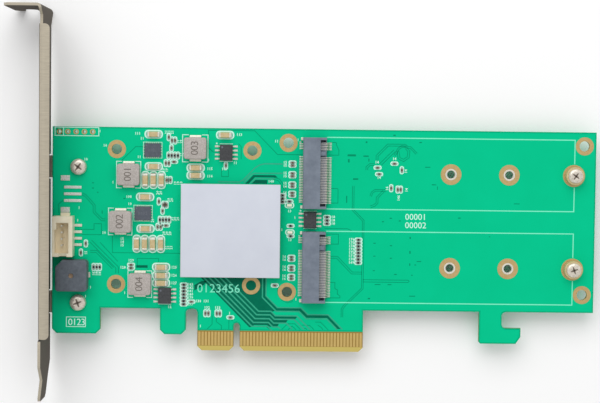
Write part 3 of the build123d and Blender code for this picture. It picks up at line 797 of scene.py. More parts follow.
@dataclass
class Tracks:
    """The copper pattern that shows through the solder mask.

    Attributes:
        skin: How far the pattern stands above the board.
        seam: Width of the seam beside a track.
        bus_first: Sum of X and Y on the first bus track.
        bus_step: Step of that sum from track to track.
        bus_levels: Level of each bus track's first straight run.
    """

    skin: float = 0.012
    seam: float = 0.17
    bus_first: float = 12.4
    bus_step: float = 1.68
    bus_levels: tuple[float, ...] = (7.7, 8.9, 10.1, 11.3, 12.4)

    def dress(self) -> None:
        """Build the gaps, the tracks in them and the seams."""
        low = BOARD_TOP

        def gaps(bm: bmesh.types.BMesh) -> None:
            for corners in self.gap_outlines():
                slab(bm, corners, low, low + self.skin)

        def tracks(bm: bmesh.types.BMesh) -> None:
            for points, width in self.bus_routes():
                route(bm, points, width, low + self.skin * 0.5, low + self.skin * 2)

        def seams(bm: bmesh.types.BMesh) -> None:
            for points in self.single_seams():
                route(bm, points, self.seam, low, low + self.skin)
            for points, half in self.double_seams():
                for side in (-half, half):
                    route(bm, beside(points, side), self.seam, low, low + self.skin)
            for (x, y), length, width in self.patches():
                block(
                    bm,
                    (x - length / 2, y - width / 2, low),
                    (x + length / 2, y + width / 2, low + self.skin),
                )

        make_piece("mask_gaps", GAP, gaps)
        make_piece("bus_tracks", TRACK, tracks)
        make_piece("copper_seams", SEAM, seams)

    def gap_outlines(self) -> list[list[Point]]:
        """Return the outlines of the areas with no copper under the mask."""
        return [
            [(-11.5, 22.9), (3.9, 7.4), (4.8, 7.5), (5.4, 8.1), (9.4, 8.1), (10.2, 7.6),
             (12.6, 7.6), (13.2, 8.8), (15.2, 8.8), (15.8, 9.7), (18.0, 9.9), (18.6, 10.6),
             (18.2, 11.2), (11.7, 11.2), (10.8, 12.2), (11.9, 12.6), (7.7, 16.7), (7.7, 22.9)],
            [(8.1, 22.9), (8.1, 16.8), (12.3, 12.65), (19.4, 12.65), (21.6, 10.5), (28.0, 10.5),
             (31.3, 7.1), (32.3, 7.1), (28.2, 11.3), (21.9, 11.3), (19.8, 13.4), (12.5, 13.4),
             (8.8, 17.1), (8.8, 22.9)],
            [(2.2, 51.9), (4.7, 54.6), (11.4, 54.6), (12.2, 53.9), (5.2, 53.9), (3.3, 51.9)],
            [(4.2, 51.9), (5.4, 53.1), (9.0, 53.1), (9.0, 51.9)],
            [(-31.2, 25.5), (-31.2, 26.3), (-27.7, 26.3), (-27.7, 25.5)],
            [(-13.2, 18.6), (-13.2, 20.3), (-11.0, 21.6), (-9.4, 21.6), (-10.2, 20.4)],
        ]

    def bus_routes(self) -> list[tuple[list[Point], float]]:
        """Return the light tracks that cross the gaps, with their widths."""
        routes: list[tuple[list[Point], float]] = []
        kink, drop = 10.1, 1.35
        ends = (11.6, 12.9, 15.4, 17.8, 18.6)
        for i, level in enumerate(self.bus_levels):
            total = self.bus_first + self.bus_step * i
            bend = kink + 0.25 * (i - 2)
            lower = level - drop
            points = [
                (total - 22.9, 22.9), (total - level, level), (bend, level), (bend + drop, lower),
            ]
            if lower > 7.2:
                points.append((ends[i], lower))
                points.append((ends[i] + lower - 6.9, 6.9))
            routes.append((points, 0.42))
        routes.append(
            ([(7.9, 22.9), (7.9, 16.7), (12.2, 12.4), (19.3, 12.4), (21.5, 10.2), (27.9, 10.2),
              (31.2, 6.9)], 0.36)
        )
        routes.append(
            ([(9.0, 22.9), (9.0, 17.2), (12.6, 13.6), (19.9, 13.6), (22.0, 11.5), (28.3, 11.5),
              (32.8, 7.0)], 0.36)
        )
        curve = [
            (13.8, 58.1), (8.2, 58.1), (6.6, 57.7), (5.2, 56.8), (1.6, 53.0), (0.4, 52.4),
            (-6.2, 52.4),
        ]
        routes.append((curve, 0.4))
        routes.append(([(13.8, 55.2), (5.0, 55.1), (4.2, 54.8), (1.8, 52.2)], 0.4))
        routes.append(([(11.4, 53.5), (5.4, 53.5), (3.9, 52.0)], 0.34))
        return routes

    def single_seams(self) -> list[list[Point]]:
        """Return the seams that run alone."""
        return [
            [(-55.2, 42.3), (-55.2, 45.0), (-53.9, 46.05)],
            [(-50.2, 37.2), (-44.3, 37.2), (-44.3, 39.0), (-42.0, 39.0), (-42.0, 35.6),
             (-48.0, 35.6)],
            [(-36.0, 58.5), (-31.6, 62.9), (-29.0, 62.9)],
            [(-38.6, 35.4), (-38.6, 30.1), (-17.4, 30.1)],
            [(-30.9, 26.3), (-30.9, 28.4), (-24.3, 28.4), (-24.3, 27.3)],
            [(-9.2, 62.9), (-9.2, 68.2), (5.0, 68.2), (12.1, 61.0), (19.9, 61.0)],
            [(-9.2, 62.9), (-7.7, 61.5), (-6.8, 61.5)],
            [(0.0, 64.2), (0.9, 63.2), (0.9, 59.4)],
            [(-5.1, 56.3), (-5.1, 54.0), (-3.0, 54.0), (-3.0, 56.3)],
            [(28.2, 64.9), (30.1, 64.9), (30.3, 64.0), (31.0, 62.6), (31.0, 61.0), (27.4, 61.0)],
            [(28.4, 50.7), (30.7, 50.7), (30.9, 50.4), (30.9, 46.2), (27.4, 46.2)],
            [(27.5, 36.6), (31.2, 36.6), (31.2, 33.5), (28.4, 33.5)],
            [(28.4, 21.6), (30.3, 21.6), (30.3, 19.7), (31.1, 19.3), (31.1, 18.0), (31.9, 17.4),
             (31.9, 16.8), (27.4, 16.8)],
            [(26.9, 38.3), (34.0, 38.3), (35.2, 37.7)],
            [(52.9, 22.6), (53.3, 22.2), (52.9, 21.8)],
            [(-7.6, 10.9), (-7.6, 8.2), (-9.2, 6.6)],
            [(-6.3, 10.6), (-6.3, 9.0), (-4.7, 7.8), (-4.7, 6.6)],
            [(-2.4, 9.7), (-2.4, 6.6)],
            [(-1.4, 9.7), (-1.4, 9.2)],
            [(14.0, 6.8), (15.8, 8.6), (18.0, 8.6), (19.8, 6.8)],
            [(16.0, 6.8), (17.2, 7.9), (18.4, 6.8)],
            [(20.2, 8.2), (22.6, 8.2), (24.0, 6.8)],
            [(20.4, 7.2), (21.4, 7.2), (21.8, 6.8)],
            [(24.4, 9.2), (26.0, 9.2), (28.4, 6.8)],
            [(25.2, 8.2), (26.2, 7.6), (26.8, 6.8)],
            [(9.2, 7.6), (10.2, 6.8)],
            [(-42.4, 33.2), (-36.9, 27.4)],
        ]

    def double_seams(self) -> list[tuple[list[Point], float]]:
        """Return tracks that show as a seam on each side, with half their widths."""
        return [
            ([(-48.2, 48.2), (-46.9, 47.6), (-44.3, 44.7), (-44.3, 42.6), (-41.9, 40.2),
              (-40.8, 40.2)], 0.3),
            ([(-45.3, 33.6), (-37.1, 25.5), (-37.1, 23.7)], 0.4),
            ([(-45.4, 30.4), (-43.5, 30.4), (-38.4, 25.3)], 0.3),
            ([(42.8, 58.6), (42.8, 60.9), (46.1, 64.3), (51.2, 64.3), (52.0, 63.9)], 0.3),
            ([(43.9, 58.3), (48.2, 62.6)], 0.35),
            ([(48.2, 61.0), (49.4, 63.2), (50.4, 63.9), (53.1, 63.6), (55.0, 61.7)], 0.25),
            ([(49.2, 62.6), (49.6, 60.3), (51.0, 59.6), (52.4, 60.6), (52.6, 62.4),
              (51.8, 63.4)], 0.3),
            ([(39.7, 56.5), (39.7, 57.4), (40.6, 58.2), (42.0, 58.2)], 0.28),
            ([(35.6, 51.6), (35.6, 44.1), (38.8, 40.9), (38.8, 19.8), (33.2, 14.3), (32.6, 13.3),
              (32.6, 10.8)], 0.25),
            ([(28.3, 29.4), (30.9, 29.4), (35.5, 24.6), (38.6, 24.6)], 0.3),
            ([(38.9, 22.2), (52.9, 22.2)], 0.35),
            ([(41.0, 48.4), (41.4, 49.6), (42.4, 50.3), (45.8, 50.3)], 0.25),
            ([(45.0, 50.1), (43.0, 48.0), (43.0, 46.4), (42.2, 45.6), (41.0, 45.2)], 0.28),
            ([(14.6, 50.3), (12.6, 53.2), (11.0, 53.6)], 0.3),
            ([(12.6, 20.6), (12.9, 17.6), (14.0, 16.1), (15.6, 15.3), (17.4, 15.7)], 0.2),
        ]

    def patches(self) -> list[tuple[Point, float, float]]:
        """Return the short faint patches, as place, length and width."""
        return [
            ((35.0, 61.0), 2.6, 0.6), ((34.1, 59.3), 0.5, 1.0), ((39.4, 60.8), 1.6, 0.4),
            ((40.3, 59.6), 0.3, 0.9), ((36.3, 53.7), 1.6, 0.5), ((48.1, 67.3), 0.7, 0.4),
            ((56.2, 65.2), 0.8, 0.3), ((39.5, 65.1), 0.5, 0.5), ((58.5, 57.6), 1.6, 0.25),
            ((60.5, 52.2), 1.4, 0.25), ((61.6, 51.2), 0.2, 1.0), ((42.4, 33.9), 0.7, 0.25),
            ((47.5, 33.2), 0.6, 0.3), ((42.4, 29.9), 0.7, 0.25), ((47.5, 29.3), 0.6, 0.3),
            ((42.3, 25.4), 0.6, 0.25), ((49.0, 24.3), 0.8, 0.3), ((54.1, 24.1), 0.5, 0.25),
            ((53.4, 35.7), 0.4, 0.6), ((53.4, 31.2), 0.4, 0.8), ((53.4, 27.4), 0.3, 0.8),
            ((56.2, 28.4), 1.4, 0.25), ((55.1, 27.3), 0.5, 0.3), ((43.5, 21.1), 1.8, 0.25),
            ((47.2, 21.1), 1.2, 0.25), ((54.3, 17.6), 1.8, 0.25), ((40.9, 16.7), 0.7, 0.4),
            ((86.2, 46.6), 1.8, 0.22), ((68.5, 42.0), 0.8, 0.3), ((33.6, 47.4), 0.3, 2.2),
            ((44.9, 40.6), 0.6, 0.3), ((47.3, 41.7), 0.7, 0.3), ((50.1, 40.9), 0.6, 0.3),
            ((-44.7, 51.6), 0.6, 0.25), ((-44.7, 50.0), 0.5, 0.3), ((-43.2, 48.7), 0.4, 0.3),
            ((-41.8, 42.6), 0.25, 1.0), ((-35.0, 46.9), 0.6, 0.3), ((78.0, 36.3), 0.4, 0.25),
        ]


@dataclass
class Board:
    """The circuit board's own surface: its border and its gold rings."""

    border: float = 0.42
    skin: float = 0.01
    ring_height: float = 0.05
    heatsink_rings: tuple[Point, ...] = (
        (-37.4, 20.4), (4.35, 20.4), (-37.4, 62.1), (4.35, 62.1),
        (15.45, 18.5), (106.9, 18.5), (15.45, 64.6), (106.9, 64.6),
    )
    insert_rings: tuple[Point, ...] = (
        (65.75, 26.42), (83.75, 26.42), (65.75, 55.42), (83.75, 55.42),
    )
    standoff_rings: tuple[Point, ...] = ((103.75, 26.42), (103.75, 55.42))
    row_start: Point = (-55.05, 67.3)
    row_pitch: float = 2.55
    row_count: int = 5
    row_ring: Point = (0.51, 0.84)
    row_frame_half: float = 0.66
    row_frame_width: float = 0.36
    outline: tuple[Point, ...] = (
        (-57.15, 6.35), (-55.75, 4.95), (-43.6, 4.95), (-42.2, 6.35), (-42.2, 12.95),
        (-23.75, 12.95), (-23.75, 6.35), (-22.35, 4.95), (-17.15, 4.95), (-15.75, 6.35),
        (-15.75, 11.75), (-15.4, 12.6), (-14.55, 12.95), (-13.35, 12.95), (-12.5, 12.6),
        (-12.15, 11.75), (-12.15, 6.3), (-0.95, 6.3), (-0.95, 7.8), (-0.67, 8.47), (0.0, 8.75),
        (0.67, 8.47), (0.95, 7.8), (0.95, 6.3), (39.15, 6.3), (39.15, 12.95),
        (75.15, 12.95), (75.15, 3.55), (75.65, 3.05), (86.6, 3.05), (88.1, 5.25), (88.1, 7.9),
        (83.3, 7.9), (82.52, 8.22), (82.2, 9.0), (82.2, 11.85), (82.52, 12.63), (83.3, 12.95),
        (110.5, 12.95), (110.5, 68.9), (-57.15, 68.9),
    )

    def dress(self) -> None:
        """Finish the board and lay its border and rings."""
        paint_node("circuit_board", MASK)

        def border(bm: bmesh.types.BMesh) -> None:
            middle = beside(self.outline, self.border / 2, closed=True)
            route(bm, middle, self.border, BOARD_TOP, BOARD_TOP + self.skin, closed=True)

        top = BOARD_TOP + self.ring_height

        def large(bm: bmesh.types.BMesh) -> None:
            for place in self.heatsink_rings:
                washer(bm, place, 1.62, 2.8, BOARD_TOP, top)
                turned(
                    bm,
                    [(1.6, BOARD_BOTTOM), (1.62, BOARD_BOTTOM), (1.62, top), (1.6, top)],
                    place, 36, closed=True,
                )
            for place in self.insert_rings:
                washer(bm, place, 1.8, 3.2, BOARD_TOP, top + 0.02)
            for place in self.standoff_rings:
                washer(bm, place, 1.85, 3.4, BOARD_TOP, top)

        def small(bm: bmesh.types.BMesh) -> None:
            x, y = self.row_start
            for i in range(1, self.row_count):
                washer(bm, (x + self.row_pitch * i, y), *self.row_ring, BOARD_TOP, top, 20)
            half, width = self.row_frame_half, self.row_frame_width
            for side in (-1, 1):
                edge = side * half
                bar(bm, (x - half, y + edge), (x + half, y + edge), width, BOARD_TOP, top)
                bar(bm, (x + edge, y - half), (x + edge, y + half), width, BOARD_TOP, top)

        make_piece("board_border", BORDER, border)
        make_piece("hole_rings", GOLD, large, smooth=True)
        make_piece("row_hole_rings", GOLD, small, smooth=True)


@dataclass
class Print:
    """The white print: bay outlines, part outlines and plain reference numbers.

    Attributes:
        thick: How far the print stands above the board.
        bays: Middle of each bay along Y.
    """

    thick: float = 0.025
    bays: tuple[float, ...] = (26.42, 55.42)
    bay_half: float = 11.05
    bay_start: float = 27.35
    bay_end: float = 103.9
    line: float = 0.3
    inductors: tuple[tuple[float, float, float, float], ...] = (
        (-37.46, 50.17, -30.02, 58.35), (-39.87, 35.62, -32.6, 43.88),
        (-17.17, 58.4, -9.37, 66.75), (-33.73, 16.3, -26.38, 24.57),
    )

    def dress(self) -> None:
        """Build the three kinds of print."""
        make_piece("bay_outlines", PALE_PRINT, self.outline_bays)
        make_piece("part_outlines", PRINT, self.outline_parts)
        make_piece("reference_numbers", PRINT, self.number_parts)
        make_piece("label_numbers", PALE_PRINT, self.number_label)

    def levels(self) -> tuple[float, float]:
        """Return the lower and upper level of the print."""
        return BOARD_TOP, BOARD_TOP + self.thick

    def outline_bays(self, bm: bmesh.types.BMesh) -> None:
        """Add the long frames of the two bays."""
        low, high = self.levels()
        for y in self.bays:
            for side in (-1, 1):
                edge = y + side * self.bay_half
                corner, end = (self.bay_end, edge), (self.bay_end, y + side * 3.6)
                route(bm, [(self.bay_start, edge), corner, end], self.line, low, high)

    def outline_parts(self, bm: bmesh.types.BMesh) -> None:
        """Add the outlines of inductors, chips and chip parts."""
        low, high = self.levels()
        for x0, y0, x1, y1 in self.inductors:
            middle, half = (x0 + x1) / 2, 2.05
            for x, gap in ((x0, middle - half), (x1, middle + half)):
                route(bm, [(gap, y0), (x, y0), (x, y1), (gap, y1)], 0.22, low, high)
        frame_box(bm, (-56.43, 66.07), (-42.98, 68.62), 0.2, low, high)
        route(bm, [(-53.81, 66.17), (-53.81, 68.52)], 0.2, low, high)
        frame_box(bm, (-52.7, 7.0), (-46.8, 10.0), 0.2, low, high)
        for number in (1, 2):
            corner, far = node_box(f"regulator_chip_{number}")
            start = (corner.x - 0.35, corner.y - 0.35)
            frame_box(bm, start, (far.x + 0.35, far.y + 0.35), 0.15, low, high)
        for number in (1, 2, 3):
            corner, far = node_box(f"eight_lead_chip_{number}_body")
            for y in (corner.y - 0.25, far.y + 0.25):
                bar(bm, (corner.x, y), (far.x, y), 0.16, low, high)
            washer(bm, (corner.x - 1.0, far.y + 0.35), 0.05, 0.25, low, high, 12)
        self.outline_chip_parts(bm)

    def outline_chip_parts(self, bm: bmesh.types.BMesh) -> None:
        """Add a rounded outline round each chip capacitor and resistor."""
        low, high = self.levels()
        for i, (corner, far) in enumerate(solid_boxes("large_capacitor_bodies")):
            middle = ((corner.x + far.x) / 2, (corner.y + far.y) / 2)
            level = high + 0.004 * (i % 2)
            if far.x - corner.x > far.y - corner.y:
                oval(bm, middle, 2.62, 1.12, 0.42, low, level)
            else:
                oval(bm, middle, 1.12, 2.62, 0.36, low, level)
        for node in ("small_capacitors", "small_resistors"):
            for i, (corner, far) in enumerate(solid_boxes(node)):
                middle = ((corner.x + far.x) / 2, (corner.y + far.y) / 2)
                level = high + 0.01 + 0.004 * (i % 3)
                if far.x - corner.x > far.y - corner.y:
                    oval(bm, middle, 1.08, 0.5, 0.32, low, level)
                else:
                    oval(bm, middle, 0.5, 1.08, 0.32, low, level)
        for corner, far in solid_boxes("indicator_lamps"):
            middle = ((corner.x + far.x) / 2, (corner.y + far.y) / 2)
            oval(bm, middle, 1.3, 0.75, 0.34, low, high + 0.024)

    def number_label(self, bm: bmesh.types.BMesh) -> None:
        """Add the plain digits at the large label's place."""
        low, high = self.levels()
        NUMERALS.write(bm, "0123456", (-12.4, 18.1), 2.7, 1.92, low + 0.01, high + 0.01)

    def number_parts(self, bm: bmesh.types.BMesh) -> None:
        """Add plain reference numbers beside the parts and in the label places."""
        low, high = self.levels()
        high += 0.03
        NUMERALS.write(bm, "0123", (-52.2, 7.45), 2.1, 1.32, low, high)
        NUMERALS.write(bm, "00001", (51.7, 41.3), 1.9, 1.33, low, high)
        NUMERALS.write(bm, "00002", (51.7, 38.7), 1.9, 1.33, low, high)
        for i, (place, turn, digits) in enumerate(self.number_places(), start=1):
            text = str(100 + i)[:digits] if digits < 3 else str(100 + i)
            NUMERALS.write(bm, text, place, 0.8, 0.6, low, high, turn, bold=True)

    def number_places(self) -> list[tuple[Point, float, int]]:
        """Return where each small number starts, its turn and its digits."""
        places: list[tuple[Point, float, int]] = [
            ((-42.9, 67.2), 0.0, 1), ((-41.6, 62.8), 0.0, 2), ((-47.5, 58.5), 0.0, 2),
            ((-38.8, 51.5), 0.0, 1), ((-49.2, 43.5), 0.0, 1), ((-49.6, 39.6), 0.0, 1),
            ((-41.8, 35.9), 0.0, 2), ((-34.5, 47.1), 0.0, 3), ((-33.9, 44.9), 0.0, 2),
            ((-31.1, 59.4), 0.0, 2), ((-31.9, 66.6), 0.0, 3), ((-30.2, 65.1), 0.0, 2),
            ((-0.6, 66.6), 0.0, 3), ((-1.5, 57.9), 0.0, 2), ((-9.6, 56.0), 0.0, 3),
            ((-9.6, 53.7), 0.0, 3), ((-9.4, 58.7), 0.0, 1), ((11.2, 64.7), 0.0, 2),
            ((18.1, 65.2), 0.0, 1), ((18.0, 15.9), 0.0, 1), ((-45.6, 18.9), 0.0, 1),
            ((-47.1, 16.1), 0.0, 1), ((-35.0, 17.3), 0.0, 1), ((-21.4, 13.1), 0.0, 2),
            ((-20.4, 25.4), 0.0, 3), ((-20.4, 22.9), 0.0, 3), ((-20.4, 20.5), 0.0, 3),
            ((-36.2, 25.2), 0.0, 3), ((-33.7, 27.4), 0.0, 3), ((-12.8, 15.0), 0.0, 3),
            ((-10.4, 15.0), 0.0, 3), ((-10.1, 13.0), 0.0, 3), ((-6.8, 13.0), 0.0, 3),
            ((-2.5, 11.3), 0.0, 1), ((-11.5, 7.2), 0.0, 1), ((17.4, 41.2), 0.0, 1),
            ((15.4, 43.2), 0.0, 2), ((15.6, 34.3), 0.0, 2), ((13.4, 37.4), 0.0, 1),
            ((42.2, 58.6), 0.0, 2), ((42.9, 53.9), 0.0, 2), ((47.6, 59.7), 0.0, 2),
            ((52.1, 55.7), 90.0, 2), ((46.4, 50.3), 90.0, 2), ((52.4, 49.9), 90.0, 2),
            ((50.0, 47.1), 90.0, 3), ((-5.1, 56.0), 0.0, 3), ((9.3, 52.3), 0.0, 3),
            ((-36.2, 33.1), 0.0, 2), ((-36.2, 32.1), 0.0, 2), ((-36.2, 34.1), 0.0, 2),
            ((-30.5, 40.0), 0.0, 2), ((-45.9, 32.4), 90.0, 1), ((-46.4, 29.4), 90.0, 2),
        ]
        for y in (58.1, 54.8, 51.65, 48.8, 28.95, 25.85, 23.05):
            places += [((13.9, y + 0.12), 0.0, 2), ((13.9, y - 0.82), 0.0, 2)]
        places += [((34.4, 27.5 + 1.02 * i), 0.0, 3) for i in range(8)]
        places += [((-15.3, 14.0 + 1.02 * i), 0.0, 3) for i in range(7)]
        places += [((28.9, 39.5 + 1.02 * i), 0.0, 2) for i in range(3)]
        places += [((-44.0 + 0.95 * i, 22.9), 90.0, 3) for i in range(3)]
        for x, y, count in ((-18.2, 64.0, 2), (-18.4, 60.0, 3), (-22.6, 55.2, 2), (-19.0, 51.2, 3),
                            (-24.4, 48.2, 2), (-21.0, 46.0, 2), (-20.0, 40.2, 3), (-22.4, 35.7, 3),
                            (-22.0, 31.3, 3), (-21.9, 66.9, 3), (-25.9, 39.6, 1)):
            places += [((x + 0.95 * i, y), 90.0, 2) for i in range(count)]
        return places


@dataclass
class EdgeConnector:
    """The gold contacts on both faces."""

    nodes: tuple[str, ...] = ("front_edge_contacts", "rear_edge_contacts")

    def dress(self) -> None:
        """Finish the contacts."""
        for node in self.nodes:
            paint_node(node, FINGER_GOLD)


@dataclass
class SlotBracket:
    """The folded sheet that holds the card in a case."""

    edge: float = 0.16

    def dress(self) -> None:
        """Break the sheet's cut edges and give it brushed nickel, with a painted dark reflection
        on the sideways faces.
        """
        soften_node("slot_bracket", SHEET, self.edge, 2)


@dataclass
class PanScrew:
    """A screw head with a domed top and a cross recess.

    Attributes:
        radius: Radius of the head.
        height: Height of the head.
        seat: Level of its underside.
        recess: Half length of the cross.
        arm: Half width of the cross's arms.
    """

    radius: float
    height: float
    seat: float
    recess: float
    arm: float

    def dome(self, bm: bmesh.types.BMesh, centre: Point) -> None:
        """Add the head, with a shallow dish in which the cross lies."""
        top = self.seat + self.height
        profile = [
            (0.0, self.seat), (self.radius * 0.93, self.seat),
            (self.radius, self.seat + 0.08 * self.height),
        ]
        for i in range(1, 6):
            angle = math.radians(14 * i)
            profile.append(
                (
                    self.radius * (0.45 + 0.55 * math.cos(angle)),
                    self.seat + self.height * (0.42 + 0.56 * math.sin(angle)),
                )
            )
        profile += [(self.recess * 0.8, top), (self.recess * 0.62, top - 0.05), (0.0, top - 0.1)]
        turned(bm, profile, centre, 40)

    def cross(self, bm: bmesh.types.BMesh, centre: Point, turn: float) -> None:
        """Add the four sloping walls of the cross, whose darker finish is painted shade of the
        recess.
        """
        top = self.seat + self.height + 0.012
        for i in range(4):
            angle = turn + i * math.pi / 2
            along = Vector((math.cos(angle), math.sin(angle)))
            across = Vector((-along.y, along.x))
            middle = Vector(centre)
            corners = [
                middle - along * self.arm,
                middle + along * self.arm + across * self.arm,
                middle + along * self.recess + across * self.arm * 0.55,
                middle + along * self.recess - across * self.arm * 0.55,
                middle + along * self.arm - across * self.arm,
            ]
            slab(bm, [(p.x, p.y) for p in corners], top - 0.12, top)


@dataclass
class Fasteners:
    """Screws, standoffs and the threaded inserts of the bays."""

    bracket_screws: tuple[Point, ...] = ((-49.1, 14.55), (-49.1, 56.5))
    module_screws: tuple[Point, ...] = ((103.75, 26.42), (103.75, 55.42))
    inserts: tuple[Point, ...] = ((65.75, 26.42), (83.75, 26.42), (65.75, 55.42), (83.75, 55.42))
    seat: float = 3.435

    def dress(self) -> None:
        """Build the heads and the sleeves over their plain solids."""
        large = PanScrew(2.5, 1.9, BOARD_TOP, 1.35, 0.3)
        small = PanScrew(2.2, 1.0, self.seat, 1.15, 0.26)
        turns = (0.35, 0.95)

        def heads(bm: bmesh.types.BMesh) -> None:
            for place in self.bracket_screws:
                large.dome(bm, place)
                self.shank(bm, place, 1.45, BOARD_TOP, 3.0)

        def small_heads(bm: bmesh.types.BMesh) -> None:
            for place in self.module_screws:
                small.dome(bm, place)
                self.shank(bm, place, 1.2, self.seat, 3.2)

        # The crosses take the darker recess finish: painted shade of the recesses.
        def shaded_crosses(bm: bmesh.types.BMesh) -> None:
            for place, turn in zip(self.bracket_screws, turns):
                large.cross(bm, place, turn)
            for place, turn in zip(self.module_screws, turns):
                small.cross(bm, place, turn)

        make_piece("bracket_screw_heads", SCREW, heads, ["bracket_screws"], smooth=True)
        make_piece("module_screw_heads", SCREW, small_heads, ["module_screws"], smooth=True)
        make_piece("screw_crosses_painted_shade", RECESS_SHADE, shaded_crosses)
        make_piece("insert_sleeves", TIN, self.sleeves, ["threaded_inserts"], smooth=True)
        make_piece("standoff_posts", POST_GOLD, self.posts, ["module_standoffs"], smooth=True)

    @staticmethod
    def shank(
        bm: bmesh.types.BMesh, place: Point, radius: float, seat: float, length: float
    ) -> None:
        """Add a threaded shank below a head."""
        pitch = 0.5
        profile: list[Point] = [(0.0, seat - length), (radius * 0.8, seat - length)]
        for i in range(int((length - 0.3) / pitch)):
            level = seat - length + 0.15 + pitch * i
            profile += [(radius * 0.82, level), (radius, level + pitch / 2)]
        profile += [(radius * 0.82, seat - 0.1), (radius * 0.82, seat)]
        turned(bm, profile, place, 20)

    def sleeves(self, bm: bmesh.types.BMesh) -> None:
        """Add the round sleeves with a ridged bore."""
        for place in self.inserts:
            profile = [(1.25, BOARD_BOTTOM), (1.78, BOARD_BOTTOM), (1.78, 0.88), (1.72, 0.935),
                       (1.36, 0.935), (1.25, 0.84)]
            for i in range(3):
                level = 0.62 - 0.45 * i
                profile += [(1.25, level), (1.34, level - 0.1), (1.25, level - 0.2)]
            turned(bm, profile, place, 40, closed=True)

    def posts(self, bm: bmesh.types.BMesh) -> None:
        """Add the standoffs, wider above the board than in it."""
        for place in self.module_screws:
            profile = [(1.25, BOARD_BOTTOM), (1.78, BOARD_BOTTOM), (1.78, 0.84), (2.6, 0.84),
                       (2.75, 0.98), (2.75, 3.28), (2.6, 3.43), (1.25, 3.43)]
            turned(bm, profile, place, 40, closed=True)


@dataclass
class ChipParts:
    """Small capacitors and resistors, each a body between two metal ends."""

    end_share: float = 0.24
    pad_reach: float = 0.18

    def dress(self) -> None:
        """Build bodies, ends and solder for every small part."""
        self.build_set("small_capacitors", SMALL_CERAMIC)
        self.build_set("small_resistors", GLAZE)
        soften_node("large_capacitor_bodies", CERAMIC, 0.12)
        soften_node("large_capacitor_ends", TIN, 0.12)
        soften_node("indicator_lamps", LAMP, 0.1)
        self.build_fillets()

    def build_set(self, node: str, finish: Finish) -> None:
        """Show one node of small parts in full.

        Args:
            node: Name of the node.
            finish: Finish of the bodies.
        """
        boxes = solid_boxes(node)

        def bodies(bm: bmesh.types.BMesh) -> None:
            for low, high in boxes:
                along = 0 if high.x - low.x > high.y - low.y else 1
                a, b = low.copy(), high.copy()
                step = (high[along] - low[along]) * self.end_share * 0.8
                a[along] += step
                b[along] -= step
                broken_block(bm, a, b, 0.04, 1)

        def ends(bm: bmesh.types.BMesh) -> None:
            for low, high, _ in self.end_boxes(boxes):
                high.z += 0.01
                broken_block(bm, low, high, 0.05, 1)

        def joints(bm: bmesh.types.BMesh) -> None:
            for low, high, (along, side) in self.end_boxes(boxes):
                if side:
                    high[along] += self.pad_reach
                else:
                    low[along] -= self.pad_reach
                high.z = BOARD_TOP + 0.1
                block(bm, low, high)

        make_piece(node + "_bodies", finish, bodies, [node])
        make_piece(node + "_ends", SMALL_END, ends)
        make_piece(node + "_joints", SOLDER, joints)

    def end_boxes(
        self, boxes: list[tuple[Vector, Vector]]
    ) -> list[tuple[Vector, Vector, tuple[int, int]]]:
        """Return the box of each metal end, with its axis and side."""
        found = []
        for low, high in boxes:
            along = 0 if high.x - low.x > high.y - low.y else 1
            step = (high[along] - low[along]) * self.end_share
            for side in (0, 1):
                a, b = low.copy(), high.copy()
                if side:
                    a[along] = b[along] - step
                else:
                    b[along] = a[along] + step
                margin = Vector((0.012, 0.012, 0.0))
                found.append((a - margin, b + margin, (along, side)))
        return found

    def build_fillets(self) -> None:
        """Add the sloping solder at the ends of the large capacitors."""
        bodies = solid_boxes("large_capacitor_bodies")

        def shape(bm: bmesh.types.BMesh) -> None:
            for low, high in bodies:
                along = 0 if high.x - low.x > high.y - low.y else 1
                for side in (-1, 1):
                    edge = (high[along] if side > 0 else low[along]) + side * 0.5
                    a, b = low.copy(), high.copy()
                    a[along], b[along] = sorted((edge, edge + side * 0.42))
                    b.z = BOARD_TOP + 0.5
                    verts = block(bm, a, b)
                    outer = [
                        v for v in verts
                        if v.co.z > BOARD_TOP + 0.3 and side * (v.co[along] - edge) > 0.2
                    ]
                    bmesh.ops.translate(bm, vec=(0.0, 0.0, -0.42), verts=outer)

        make_piece("large_capacitor_joints", SOLDER, shape)


